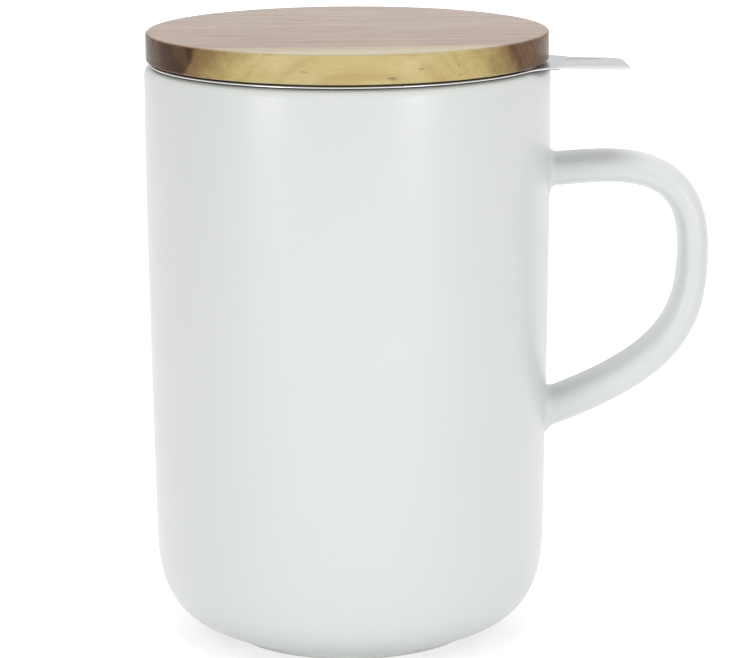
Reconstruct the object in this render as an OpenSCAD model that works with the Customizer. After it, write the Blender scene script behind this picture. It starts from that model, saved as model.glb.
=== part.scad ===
// Tea mug with a lift-out infuser basket and a wooden lid.
// +Z is up. The origin is the centre of the foot ring, on the table.
// The handle stands out along +X. All sizes are in millimetres.

/* [Mug] */
// Outer diameter of the mug at its mouth
mug_d = 86; // [82:0.5:90]
// Height of the mug from the table to its lip
mug_h = 123.6; // [118:0.1:136]
// Thickness of the mug's wall
mug_wall = 4.2; // [3.8:0.1:5]
// Thickness of the mug's floor above the foot recess
floor_t = 5; // [4:0.5:8]
// Straight height under the lip, before the wall starts to draw in
straight_h = 12; // [6:1:20]
// How far each side of the wall draws in from there to the waist
wall_draw = 1.1; // [0.6:0.1:2]
// Height of the waist, where the rounded lower corner begins
waist_z = 24.9; // [20:0.1:30]
// Width of the rounded lower corner
corner_w = 28.4; // [24:0.1:30]
// Fullness of the lower corner, where 2 is an ellipse
corner_power = 3.2; // [2.4:0.1:3.6]
// Rounding on each edge of the lip
lip_r = 2; // [1:0.1:2.4]
// Outer diameter of the foot ring
foot_d = 53; // [48:1:58]
// Width of the foot ring
foot_w = 3.6; // [2.6:0.2:5]
// Depth of the recess inside the foot ring
foot_recess = 1.2; // [0.8:0.1:2]

/* [Handle] */
// Drop from the lip to the centre of the upper arm
handle_drop = 23; // [20:0.5:30]
// Height at which the centre of the lower arm meets the wall
handle_low_z = 48.3; // [42:0.1:56]
// How far the handle's outer face stands out from the wall
handle_out = 33.9; // [30:0.1:40]
// Drop from the upper arm to the widest point of the bow
bow_drop = 17.2; // [14:0.1:21]
// Slope of the lower arm where it leaves the wall, in degrees
low_slope = 20; // [12:1:28]
// Width of the strap
strap_w = 13.5; // [10:0.5:17]
// Thickness of the strap on the upper arm
strap_top_t = 6.8; // [5.5:0.1:8]
// Thickness of the strap at the widest point of the bow
strap_bow_t = 6.5; // [5.5:0.1:8]
// Thickness of the strap on the lower arm
strap_low_t = 7.5; // [5.5:0.1:9]
// Fillet where the handle meets the wall
root_fillet = 1.8; // [1:0.1:2.6]

/* [Infuser] */
// Thickness of the steel sheet
sheet_t = 0.5; // [0.4:0.05:0.7]
// How far the flange stays back from the mug's outer face
flange_back = 1; // [0.6:0.1:1.4]
// Gap between the collar and the mouth of the mug
collar_gap = 0.6; // [0.4:0.1:1.2]
// Depth of the straight collar
collar_h = 12; // [10:0.5:16]
// Bend radius of the steel sheet
bend_r = 1.2; // [0.8:0.1:1.6]
// Outer diameter of the perforated sleeve
sleeve_d = 67; // [62:0.5:68]
// Depth of the basket below the lip of the mug
basket_depth = 82; // [70:1:90]
// Height of the lap where the sleeve is welded to the rim and to the base
lap_h = 5; // [4:0.5:7]
// Diameter of the perforations
hole_d = 2; // [1.4:0.1:2.4]
// Distance between neighbouring perforations
hole_pitch = 6; // [5:0.2:9]
// Plain margin beside the laps and round the edge of the base
plain_margin = 3; // [2:0.5:6]
// Width of the lapped seam that closes the sleeve
seam_w = 5; // [4:0.5:8]

/* [Finger tab] */
// Turn of the infuser about the mug's axis, 0 with the tab over the handle
tab_turn = -6; // [-20:1:20]
// How far the tab stands out from the flange
tab_out = 17; // [15:0.2:22]
// Width of the tab where it leaves the flange
tab_root_w = 15.4; // [13:0.2:19]
// Width of the tab at its tip
tab_tip_w = 14.8; // [10:0.2:16]
// Radius of the tip's left corner, as seen from the mug's axis
tab_left_r = 3.8; // [2:0.1:4.4]
// Radius of the tip's right corner
tab_right_r = 1; // [0.8:0.1:4]
// Slant of the tip's end towards the right corner, in degrees
tab_slant = 9; // [0:1:10]
// Radius of the hollow between the flange and the tab
tab_flare_r = 15; // [6:0.5:17]
// Depth of the edge that is turned down round the tab
tab_turned_h = 0.9; // [0.8:0.1:1.6]

/* [Lid] */
// How far the wooden disc stays back from the mug's side
lid_back = 0.4; // [0.2:0.1:0.6]
// Thickness of the wooden disc
lid_t = 6.1; // [5:0.1:10]
// Rounding on the disc's top edge
lid_top_r = 0.6; // [0.4:0.1:2]
// Rounding on the disc's lower edge
lid_low_r = 0.5; // [0.3:0.1:1.2]
// Depth of the plug below the disc
plug_h = 8; // [7:0.5:12]
// How far the plug's lower lip stays back from the collar
plug_gap = 1.5; // [1.2:0.1:2.5]
// Depth of the groove that holds the seal
groove_depth = 1.2; // [0.8:0.1:2]
// Height of the groove below the disc
groove_h = 5.6; // [5:0.1:6]
// Thickness of the seal's lip between the disc and the flange
seal_lip_t = 0.4; // [0.4:0.1:1]
// How far the seal's lip stays back from the edge of the disc
seal_lip_back = 2; // [1.2:0.1:2.2]
// Gap between the seal's ribs and the collar
seal_gap = 0.3; // [0.2:0.05:0.5]
// How far the seal's ribs stand out
seal_rib = 0.6; // [0.4:0.1:0.7]
// Clearance of the seal's lip over the bend of the collar
seal_bend_gap = 0.2; // [0.15:0.05:0.3]

/* [Hidden] */
$fn = 96;

// Curve steps along the wall, round the lower corner and round small arcs
wall_steps = 16;
corner_steps = 20;
arc_steps = 6;
// How steeply the draw of the wall grows towards the waist
draw_power = 1.5;
// Height at which the lower corner would run out flat
corner_lift = 0.6;
// Rounding on the edges of the foot ring
foot_edge = 0.6;
// Rings along each half of the handle, and sides round it
handle_rings = 44;
handle_sides = 28;
// Squareness of the strap's section, where 2 is an ellipse
strap_power = 2.5;
// How far inside the wall's face the handle's curve begins, and its stub behind that
root_inset = 1;
root_stub = 3;
// Pulls of the handle's curve along the arms and along the bow
upper_pull = 10.3;
bow_rise = 23;
bow_fall = 15.9;
lower_pull = 29;
// Drop of the basket's shoulder for each millimetre that it steps in
shoulder_pitch = 0.9;
// Room between the mug's wall and the tab's turned-down edge
tab_wall_gap = 3.5;
// Least flat on top of the lip, for the flange to rest on
lip_flat = 0.2;
// Extra length on tools that cut right through
cut = 1;

mug_r = mug_d / 2;
mouth_r = mug_r - mug_wall;
lip_edge_r = min(lip_r, (mug_wall - lip_flat) / 2);
draw_top_z = mug_h - straight_h;
floor_z = foot_recess + floor_t;
flange_r = mug_r - flange_back;
flange_top_z = mug_h + sheet_t;
collar_r = mouth_r - collar_gap;
collar_in_r = collar_r - sheet_t;
sleeve_r = sleeve_d / 2;
sleeve_in_r = sleeve_r - sheet_t;
shoulder_z = mug_h - collar_h;
skirt_z = shoulder_z - shoulder_pitch * (collar_r - sleeve_in_r);
base_z = mug_h - basket_depth;
lid_z = flange_top_z + seal_lip_t;
lid_r = mug_r - lid_back;
plug_r = collar_in_r - plug_gap;
groove_r = plug_r - groove_depth;
seal_r = collar_in_r - seal_gap;

// Points of an arc about centre c, from angle a to angle b
function arc(c, r, a, b, n = arc_steps) =
    [for (i = [0:n]) let (t = a + (b - a) * i / n) [c[0] + r * cos(t), c[1] + r * sin(t)]];

function reversed(p) = [for (i = [len(p) - 1:-1:0]) p[i]];
function unit(v) = v / norm(v);
function signed_power(v, e) = sign(v) * pow(abs(v), e);

// A path moved sideways by d to its left, with mitred corners
function left_of(v) = let (u = unit(v)) [-u[1], u[0]];
function path_offset(p, d) = let (last = len(p) - 1)
    [for (i = [0:last])
        let (a = left_of(p[min(i + 1, last)] - p[min(i, last - 1)]),
             b = left_of(p[max(i, 1)] - p[max(i - 1, 0)]))
        p[i] + d * (a + b) / (1 + a * b)];

// ---- Mug ----

// How far the wall has drawn in at height z
function draw_in(z) =
    wall_draw * pow(max(draw_top_z - z, 0) / (draw_top_z - waist_z), draw_power);

// Outer radius of the wall at height z, above the waist
function wall_r(z) = mug_r - draw_in(z);

// Lower corner of width w from the waist down to turn t_end, back by inset
function corner_curve(inset, low_z, w, t_end) =
    [for (i = [1:corner_steps])
        let (t = t_end * i / corner_steps,
             z = waist_z - (waist_z - low_z) * pow(sin(t), 2 / corner_power))
        [mug_r - draw_in(z) - inset - w * (1 - pow(cos(t), 2 / corner_power)), z]];

// Turn of the corner at which it reaches the foot ring
corner_in_r = mug_r - draw_in(corner_lift) - corner_w;
foot_turn = acos(pow((foot_d / 2 - corner_in_r) / corner_w, corner_power / 2));

// Wall from the top of the draw down to the waist
function wall_curve(inset) =
    [for (i = [0:wall_steps]) let (z = draw_top_z + (waist_z - draw_top_z) * i / wall_steps)
        [wall_r(z) - inset, z]];

function outer_face() =
    concat(arc([mug_r - lip_edge_r, mug_h - lip_edge_r], lip_edge_r, 90, 0),
           wall_curve(0),
           corner_curve(0, corner_lift, corner_w, foot_turn));

function inner_face() =
    concat(arc([mouth_r + lip_edge_r, mug_h - lip_edge_r], lip_edge_r, 90, 180),
           wall_curve(mug_wall),
           corner_curve(mug_wall, floor_z, corner_w - mug_wall, 90));

// Solid outline of the mug, as the handle meets it
module mug_outline() {
    rotate_extrude()
        polygon(concat([[0, mug_h]], outer_face(), [[foot_d / 2, 0], [0, 0]]));
}

module mug_body() {
    foot_r = foot_d / 2;
    color("#dfe2de")
        rotate_extrude()
            polygon(concat(
                outer_face(),
                arc([foot_r - foot_edge, foot_edge], foot_edge, 0, -90),
                arc([foot_r - foot_w + foot_edge, foot_edge], foot_edge, -90, -180),
                [[foot_r - foot_w, foot_recess], [0, foot_recess], [0, floor_z]],
                reversed(inner_face())));
}

// ---- Handle: an oval strap swept along two curves in the plane Y = 0 ----

root_x = mug_r - root_inset;
upper_z = mug_h - handle_drop;
bow_x = mug_r + handle_out - strap_bow_t / 2;
bow_z = upper_z - bow_drop;
low_dir = [cos(low_slope), sin(low_slope)];
upper_curve = [[root_x, upper_z], [root_x + upper_pull, upper_z],
               [bow_x, bow_z + bow_rise], [bow_x, bow_z]];
lower_curve = [[bow_x, bow_z], [bow_x, bow_z - bow_fall],
               [root_x, handle_low_z] + lower_pull * low_dir, [root_x, handle_low_z]];

// Point and direction on a cubic curve at t from 0 to 1
function on_curve(c, t) = let (s = 1 - t)
    s * s * s * c[0] + 3 * s * s * t * c[1] + 3 * s * t * t * c[2] + t * t * t * c[3];
function along_curve(c, t) = let (s = 1 - t)
    unit(s * s * (c[1] - c[0]) + 2 * s * t * (c[2] - c[1]) + t * t * (c[3] - c[2]));

// Rings lie closer together near the wall: u from 0 at the wall to 1 at the bow
function eased(u) = u * (0.35 + 0.65 * u);
function smooth(t) = t * t * (3 - 2 * t);

// Each station holds a point, a direction and the strap's thickness there
upper_stations = [for (i = [0:handle_rings]) let (t = eased(i / handle_rings))
    [on_curve(upper_curve, t), along_curve(upper_curve, t),
     strap_top_t + (strap_bow_t - strap_top_t) * smooth(t)]];
lower_stations = [for (i = [1:handle_rings]) let (t = 1 - eased(1 - i / handle_rings))
    [on_curve(lower_curve, t), along_curve(lower_curve, t),
     strap_bow_t + (strap_low_t - strap_bow_t) * smooth(t)]];
stations = concat(
    [[[root_x - root_stub, upper_z], [1, 0], strap_top_t]],
    upper_stations, lower_stations,
    [[[root_x, handle_low_z] - root_stub * low_dir, -low_dir, strap_low_t]]);

// Growth of the fillet at distance d from the wall
function fillet(d) = let (k = root_fillet - min(max(d, 0), root_fillet))
    root_fillet - sqrt(root_fillet * root_fillet - k * k);

// One point of the strap's skin, at angle a round station s
function skin(s, a) =
    let (half = [s[2] / 2, strap_w / 2],
         out = left_of(s[1]),
         e = 2 / strap_power,
         p = [half[0] * signed_power(cos(a), e), half[1] * signed_power(sin(a), e)],
         n = unit([signed_power(cos(a), 2 - e) / half[0], signed_power(sin(a), 2 - e) / half[1]]),
         base = s[0] + p[0] * out,
         grow = fillet(norm([base[0], p[1]]) - wall_r(base[1])),
         q = base + grow * n[0] * out)
    [q[0], p[1] + grow * n[1], q[1]];

module strap() {
    n = handle_sides;
    last = len(stations) - 1;
    points = [for (s = stations) for (k = [0:n - 1]) skin(s, 360 * k / n)];
    sides = [for (i = [0:last - 1]) for (k = [0:n - 1])
        let (a = i * n + k, b = i * n + (k + 1) % n) each [[a, a + n, b], [b, a + n, b + n]]];
    caps = [[for (k = [0:n - 1]) k], [for (k = [n - 1:-1:0]) last * n + k]];
    polyhedron(points = points, faces = concat(sides, caps), convexity = 4);
}

module mug_handle() {
    color("#dcdfdb")
        difference() {
            strap();
            mug_outline();
        }
}

// ---- Infuser ----

// Outer and under side of the rim's sheet, from the flange down to the skirt
rim_path = concat(
    [[flange_r - sheet_t / 2, mug_h]],
    arc([collar_r + bend_r, mug_h - bend_r], bend_r, 90, 180),
    [[collar_r, shoulder_z], [sleeve_in_r, skirt_z], [sleeve_in_r, skirt_z - lap_h]]);

// Rounded edge of the flange, between its top face and its under side
flange_edge = arc([flange_r - sheet_t / 2, mug_h + sheet_t / 2], sheet_t / 2, 75, -75);

module rim_sheet() {
    rotate_extrude()
        polygon(concat(reversed(path_offset(rim_path, -sheet_t)), flange_edge, rim_path));
}

// The root's width is measured between the straight sides, halfway along the flare
tab_reach = flange_r + tab_out;
tab_flare_x = flange_r + tab_flare_r / 2;
tab_taper = atan((tab_root_w - tab_tip_w) / 2 / (tab_reach - tab_flare_x));

// One half of the tab's outline, back by inset: flare, side and tip corner
function tab_side(inset, corner_r, slant) =
    let (u = [cos(tab_taper), -sin(tab_taper)],
         m = [sin(tab_taper), cos(tab_taper)],
         start = [0, tab_root_w / 2 + tab_flare_x * tan(tab_taper)],
         // the flare touches both the flange's edge and the tab's side
         a = start + tab_flare_r * m,
         b = u * a,
         flare = a + (sqrt(b * b - a * a + pow(flange_r + tab_flare_r, 2)) - b) * u,
         meet = 180 + atan2(flare[1], flare[0]),
         // the corner touches the side and the tip's end
         c = start - corner_r * m,
         n = [cos(slant), sin(slant)],
         corner = c + (tab_reach * n[0] - corner_r - c * n) / (u * n) * u)
    concat(arc(flare, tab_flare_r + inset, meet, 270 - tab_taper, 2 * arc_steps),
           arc(corner, corner_r - inset, 90 - tab_taper, slant));

// The tab's outline, filled from low_z up by h
module tab_plate(inset, low_z, h) {
    left = tab_side(inset, tab_left_r, tab_slant);
    right = tab_side(inset, tab_right_r, -tab_slant);
    translate([0, 0, low_z])
        linear_extrude(h)
            polygon(concat([[0, 0]], [for (p = right) [p[0], -p[1]]], reversed(left)));
}

module tab() {
    // the plate starts where the flange is still flat
    flat_r = collar_r + bend_r;
    rotate([0, 0, tab_turn]) {
        difference() {
            tab_plate(0, mug_h, sheet_t);
            translate([0, 0, mug_h - cut])
                cylinder(r = flat_r, h = sheet_t + 2 * cut);
        }
        // turned-down edge, clear of the mug's wall
        difference() {
            tab_plate(0, flange_top_z - tab_turned_h, tab_turned_h);
            tab_plate(sheet_t, mug_h - tab_turned_h - cut, tab_turned_h + sheet_t + 2 * cut);
            translate([0, 0, mug_h - tab_turned_h - cut])
                cylinder(r = mug_r + tab_wall_gap, h = tab_turned_h + sheet_t + 2 * cut);
        }
    }
}

module infuser_rim() {
    color("#c9cacb")
        union() {
            rim_sheet();
            tab();
        }
}

// Perforations in staggered rows round the sleeve, with none in the seam
hole_area_top = skirt_z - lap_h - plain_margin;
hole_area_low = base_z + lap_h + plain_margin;
row_step = hole_pitch * sqrt(3) / 2;
rows = floor((hole_area_top - hole_area_low) / row_step) + 1;
rows_low = (hole_area_top + hole_area_low - (rows - 1) * row_step) / 2;
columns = floor(360 / (hole_pitch / sleeve_r * 180 / PI));
seam_angle = seam_w / sleeve_r * 180 / PI;
// The seam faces away from the tab
seam_turn = tab_turn + 180;

module sleeve_holes() {
    for (row = [0:rows - 1], col = [1:columns - 1])
        let (turn = 360 * (col + (row % 2) / 2 - 0.25) / columns)
            if (turn > 0.8 * seam_angle && turn < 360 - 0.8 * seam_angle)
                translate([0, 0, rows_low + row * row_step])
                    rotate([0, 90, seam_turn + turn])
                        translate([0, 0, sleeve_in_r - cut])
                            cylinder(d = hole_d, h = sheet_t + 2 * cut, $fn = 16);
}

module infuser_sleeve() {
    low_z = base_z + bend_r;
    high_z = skirt_z;
    color("#bfc1c3")
        difference() {
            union() {
                translate([0, 0, low_z])
                    difference() {
                        cylinder(r = sleeve_r, h = high_z - low_z);
                        translate([0, 0, -cut])
                            cylinder(r = sleeve_in_r, h = high_z - low_z + 2 * cut);
                    }
                // the overlapping end of the rolled sheet
                translate([0, 0, low_z])
                    rotate([0, 0, seam_turn - seam_angle / 2])
                        rotate_extrude(angle = seam_angle)
                            translate([sleeve_r - sheet_t / 2, 0])
                                square([1.5 * sheet_t, high_z - low_z]);
            }
            sleeve_holes();
        }
}

// Under side of the base cup, from its centre out and up the welded lap
base_path = concat(
    [[0, base_z]],
    arc([sleeve_in_r - bend_r, base_z + bend_r], bend_r, -90, 0),
    [[sleeve_in_r, base_z + bend_r + lap_h]]);

module base_holes() {
    reach = sleeve_in_r - bend_r - plain_margin;
    steps = ceil(reach / row_step);
    for (row = [-steps:steps], col = [-steps - 1:steps + 1]) {
        x = hole_pitch * (col + abs(row % 2) / 2);
        y = row * row_step;
        if (norm([x, y]) < reach)
            translate([x, y, base_z - cut])
                cylinder(d = hole_d, h = sheet_t + 2 * cut, $fn = 16);
    }
}

module infuser_base() {
    color("#b4b7ba")
        difference() {
            rotate_extrude()
                polygon(concat(base_path, reversed(path_offset(base_path, sheet_t))));
            base_holes();
        }
}

// ---- Lid ----

module lid_disc() {
    top_z = lid_z + lid_t;
    plug_z = lid_z - plug_h;
    plug_edge = min(lid_low_r, (plug_h - groove_h) / 2);
    color("#b89a6c")
        rotate_extrude()
            polygon(concat(
                [[0, top_z]],
                arc([lid_r - lid_top_r, top_z - lid_top_r], lid_top_r, 90, 0),
                arc([lid_r - lid_low_r, lid_z + lid_low_r], lid_low_r, 0, -90),
                [[groove_r, lid_z], [groove_r, lid_z - groove_h], [plug_r, lid_z - groove_h]],
                arc([plug_r - plug_edge, plug_z + plug_edge], plug_edge, 0, -90),
                [[0, plug_z]]));
}

// A rib on the seal's band, centred at height z
function rib(z, half) =
    [for (t = [90:-30:-90]) [seal_r - seal_rib + seal_rib * cos(t), z + half * sin(t)]];

module lid_gasket() {
    lip_out_r = lid_r - seal_lip_back;
    bend = [collar_r + bend_r, mug_h - bend_r];
    low_z = lid_z - groove_h;
    // two ribs share the band below the bend
    rib_room = bend[1] - seal_rib - low_z;
    rib_half = rib_room / 4.4;
    color("#e6e7e4")
        rotate_extrude()
            polygon(concat(
                [[groove_r, lid_z], [lip_out_r, lid_z], [lip_out_r, flange_top_z],
                 [bend[0] + bend_r / 2, flange_top_z]],
                // over the bend of the collar, standing off it all the way down
                [for (p = arc([0, 0], 1, 90, 180))
                    bend + [p[0] * (bend[0] - seal_r), p[1] * (bend_r + sheet_t + seal_bend_gap)]],
                rib(low_z + 3.3 * rib_half, rib_half),
                rib(low_z + 1.1 * rib_half, rib_half),
                [[seal_r - seal_rib, low_z], [groove_r, low_z]]));
}

mug_body();
mug_handle();
infuser_rim();
infuser_sleeve();
infuser_base();
lid_disc();
lid_gasket();
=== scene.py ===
"""Looks of a tea mug with a lift-out infuser basket and a wooden lid.

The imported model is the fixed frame: +Z is up, the origin is the centre of the foot
ring on the table, and the handle stands out along +X. All sizes are in metres.
"""

from __future__ import annotations

import logging
import math
from collections.abc import Mapping, Sequence
from dataclasses import dataclass, field
from enum import Enum
from functools import reduce
from typing import Any

import bmesh
import bpy
from mathutils import Matrix, Vector

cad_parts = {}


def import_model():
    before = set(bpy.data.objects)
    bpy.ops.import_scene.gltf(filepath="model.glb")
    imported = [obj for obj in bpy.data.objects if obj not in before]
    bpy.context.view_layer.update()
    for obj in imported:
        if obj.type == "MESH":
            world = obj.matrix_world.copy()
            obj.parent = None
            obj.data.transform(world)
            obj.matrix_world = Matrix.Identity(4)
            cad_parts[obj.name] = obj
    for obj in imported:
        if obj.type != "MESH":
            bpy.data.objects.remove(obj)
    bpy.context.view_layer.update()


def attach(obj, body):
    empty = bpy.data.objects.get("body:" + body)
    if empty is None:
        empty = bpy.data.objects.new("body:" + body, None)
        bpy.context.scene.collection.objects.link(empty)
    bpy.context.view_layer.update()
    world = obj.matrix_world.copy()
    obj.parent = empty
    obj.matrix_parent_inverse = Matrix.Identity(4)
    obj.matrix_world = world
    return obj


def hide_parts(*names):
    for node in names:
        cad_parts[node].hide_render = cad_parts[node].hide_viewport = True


Material = bpy.types.Material
Mesh = bpy.types.Mesh
Piece = bpy.types.Object
Socket = bpy.types.NodeSocket
Point = tuple[float, float]
Rgba = tuple[float, float, float, float]
# A pattern's features per metre along X, Y and Z
Spacing = tuple[float, float, float]

log = logging.getLogger("tea_mug")
MM = 0.001
# Points closer together than this are one point
WELD = 0.002 * MM
# Sides of every hole in the infuser, and steps round the cell of a punched one
HOLE_SIDES = 8
# Distance between staggered rows of holes, as a share of the holes' pitch
ROW_STEP = math.sqrt(0.75)
# How far every second row of them is shifted, as a share of the same pitch
STAGGER = 0.5
# Stretch that takes in most of a noise's values
NOISE: Point = (0.3, 0.7)
# What a ramp gives at its two ends where it falls
FALLING: Point = (1.0, 0.0)


# ---- Lines and meshes ----


def linear(red: int, green: int, blue: int) -> Rgba:
    """Turns an sRGB colour into the linear values that shaders use.

    Args:
        red: Red, from 0 to 255.
        green: Green, from 0 to 255.
        blue: Blue, from 0 to 255.

    Returns:
        The linear colour, with full alpha.
    """
    shares = (value / 255 for value in (red, green, blue))
    r, g, b = (s / 12.92 if s <= 0.04045 else ((s + 0.055) / 1.055) ** 2.4 for s in shares)
    return (r, g, b, 1.0)


def smooth(t: float) -> float:
    """Eases a share from 0 to 1, level at both ends."""
    t = min(max(t, 0.0), 1.0)
    return t * t * (3 - 2 * t)


def arc(centre: Point, radius: float, start: float, end: float, steps: int = 8) -> list[Point]:
    """Draws an arc.

    Args:
        centre: Its centre.
        radius: Its radius.
        start: Angle of its first point, in degrees.
        end: Angle of its last point, in degrees.
        steps: Number of straight steps.

    Returns:
        The points, from first to last.
    """
    turns = (math.radians(start + (end - start) * i / steps) for i in range(steps + 1))
    return [(centre[0] + radius * math.cos(t), centre[1] + radius * math.sin(t)) for t in turns]


def rounded(corners: Sequence[tuple[float, float, float]], steps: int = 6) -> list[Point]:
    """Draws a line through corners and rounds them.

    Args:
        corners: Each corner's two coordinates and its radius, 0 for a sharp one.
        steps: Number of straight steps in each rounding.

    Returns:
        The points of the line.
    """
    line: list[Point] = []
    for i, (x, y, radius) in enumerate(corners):
        if radius <= 0:
            line.append((x, y))
            continue
        here = Vector((x, y))
        back = (Vector(corners[i - 1][:2]) - here).normalized()
        ahead = (Vector(corners[i + 1][:2]) - here).normalized()
        half = back.angle(ahead) / 2
        centre = here + (back + ahead).normalized() * radius / math.sin(half)
        first = here + back * radius / math.tan(half) - centre
        last = here + ahead * radius / math.tan(half) - centre
        start = math.degrees(math.atan2(first.y, first.x))
        sweep = math.degrees(math.atan2(last.y, last.x)) - start
        sweep = (sweep + 180) % 360 - 180
        line += arc((centre.x, centre.y), radius, start, start + sweep, steps)
    return line


def between(start: Point, end: Point, steps: int) -> list[Point]:
    """Returns the points that cut a straight line into steps, without its two ends."""
    shares = (i / steps for i in range(1, steps))
    return [(start[0] + (end[0] - start[0]) * t, start[1] + (end[1] - start[1]) * t) for t in shares]


def beside(path: Sequence[Point], distance: float) -> list[Point]:
    """Moves a line sideways, with mitred corners.

    Args:
        path: The line.
        distance: How far it moves to its left.

    Returns:
        The points of the moved line.
    """
    def left(a: Point, b: Point) -> Vector:
        """Returns the direction to the left of a step from a to b."""
        return Vector((a[1] - b[1], b[0] - a[0])).normalized()

    last = len(path) - 1
    moved = []
    for i, point in enumerate(path):
        before = left(path[max(i - 1, 0)], path[max(i, 1)])
        after = left(path[min(i, last - 1)], path[min(i + 1, last)])
        place = Vector(point) + (before + after) * distance / (1 + before.dot(after))
        moved.append((place.x, place.y))
    return moved


def skin(name: str, rows: Sequence[Sequence[Vector]], looped: bool) -> Mesh:
    """Joins rings of equally many points into one closed skin.

    Args:
        name: The mesh's name.
        rows: The rings, in order.
        looped: Whether the last ring joins the first. Otherwise both ends are capped.

    Returns:
        The mesh.
    """
    count = len(rows[0])
    pairs = range(len(rows) if looped else len(rows) - 1)
    faces = [
        (
            i * count + k,
            i * count + (k + 1) % count,
            (i + 1) % len(rows) * count + (k + 1) % count,
            (i + 1) % len(rows) * count + k,
        )
        for i in pairs
        for k in range(count)
    ]
    if not looped:
        faces += [tuple(range(count)), tuple((len(rows) - 1) * count + k for k in range(count))]
    mesh = bpy.data.meshes.new(name)
    mesh.from_pydata([tuple(p) for row in rows for p in row], [], faces)
    return mesh


def add_piece(name: str, mesh: Mesh) -> Piece:
    """Adds a piece to the scene, at the origin and unturned.

    Args:
        name: The piece's name.
        mesh: Its mesh, in its place.

    Returns:
        The piece.
    """
    piece = bpy.data.objects.new(name, mesh)
    bpy.context.scene.collection.objects.link(piece)
    return piece


def settle(piece: Piece, crease: float = 35.0) -> Piece:
    """Turns a piece with live modifiers into a plain mesh with outward faces.

    Args:
        piece: The piece.
        crease: Angle between faces, in degrees, past which an edge stays sharp.

    Returns:
        The same piece.
    """
    depsgraph = bpy.context.evaluated_depsgraph_get()
    mesh = bpy.data.meshes.new_from_object(piece.evaluated_get(depsgraph))
    piece.modifiers.clear()
    piece.data = mesh
    work = bmesh.new()
    work.from_mesh(mesh)
    bmesh.ops.remove_doubles(work, verts=work.verts, dist=WELD)
    bmesh.ops.recalc_face_normals(work, faces=work.faces)
    work.to_mesh(mesh)
    work.free()
    mesh.shade_smooth()
    mesh.set_sharp_from_angle(angle=math.radians(crease))
    return piece


def seat(piece: Piece, body: str, nodes: Sequence[str] = ()) -> None:
    """Fixes a finished piece to its body.

    Args:
        piece: The piece.
        body: The body that it moves with.
        nodes: The solids that it stands for.
    """
    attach(piece, body)
    if nodes:
        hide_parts(*nodes)
    log.info("%s: %d faces, rides on %s", piece.name, len(piece.data.polygons), body)


# ---- Node trees ----


class Graph:
    """Adds nodes to one tree and joins them."""

    def __init__(self, tree: bpy.types.NodeTree) -> None:
        """Starts on a tree."""
        self.tree = tree

    def add(
        self, kind: str, wires: Mapping[str | int, Any] | None = None, **settings: Any
    ) -> bpy.types.Node:
        """Adds one node.

        Args:
            kind: The node's type.
            wires: For each input, the socket that feeds it or its value.
            **settings: The node's own settings.

        Returns:
            The node.
        """
        node = self.tree.nodes.new(kind)
        for key, value in settings.items():
            setattr(node, key, value)
        for key, value in (wires or {}).items():
            if isinstance(value, Socket):
                self.tree.links.new(value, node.inputs[key])
            else:
                node.inputs[key].default_value = value
        return node

    def math(self, operation: str, *values: Any) -> Socket:
        """Adds a Math node on up to three values and returns its result."""
        return self.add("ShaderNodeMath", dict(enumerate(values)), operation=operation).outputs[0]

    def total(self, *values: Any) -> Socket:
        """Adds values up."""
        return reduce(lambda so_far, value: self.math("ADD", so_far, value), values)

    def product(self, *values: Any) -> Socket:
        """Multiplies values."""
        return reduce(lambda so_far, value: self.math("MULTIPLY", so_far, value), values)

    def length(self, *values: Any) -> Socket:
        """Returns the length of a vector with these parts."""
        return self.math("SQRT", self.total(*(self.product(v, v) for v in values)))

    def parts(self, vector: Socket) -> Sequence[Socket]:
        """Splits a vector into x, y and z."""
        return self.add("ShaderNodeSeparateXYZ", {0: vector}).outputs

    def vector(self, x: Any, y: Any, z: Any) -> Socket:
        """Joins x, y and z into a vector."""
        return self.add("ShaderNodeCombineXYZ", {0: x, 1: y, 2: z}).outputs[0]

    def ramp(self, value: Any, low: float, high: float, to: Point = (0.0, 1.0)) -> Socket:
        """Eases a value's range onto another.

        Args:
            value: The value.
            low: Where the ramp begins.
            high: Where it ends.
            to: What it gives at its two ends.

        Returns:
            The socket with the result.
        """
        wires = {"Value": value, "From Min": low, "From Max": high, "To Min": to[0], "To Max": to[1]}
        return self.add("ShaderNodeMapRange", wires, interpolation_type="SMOOTHSTEP").outputs[0]


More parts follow.
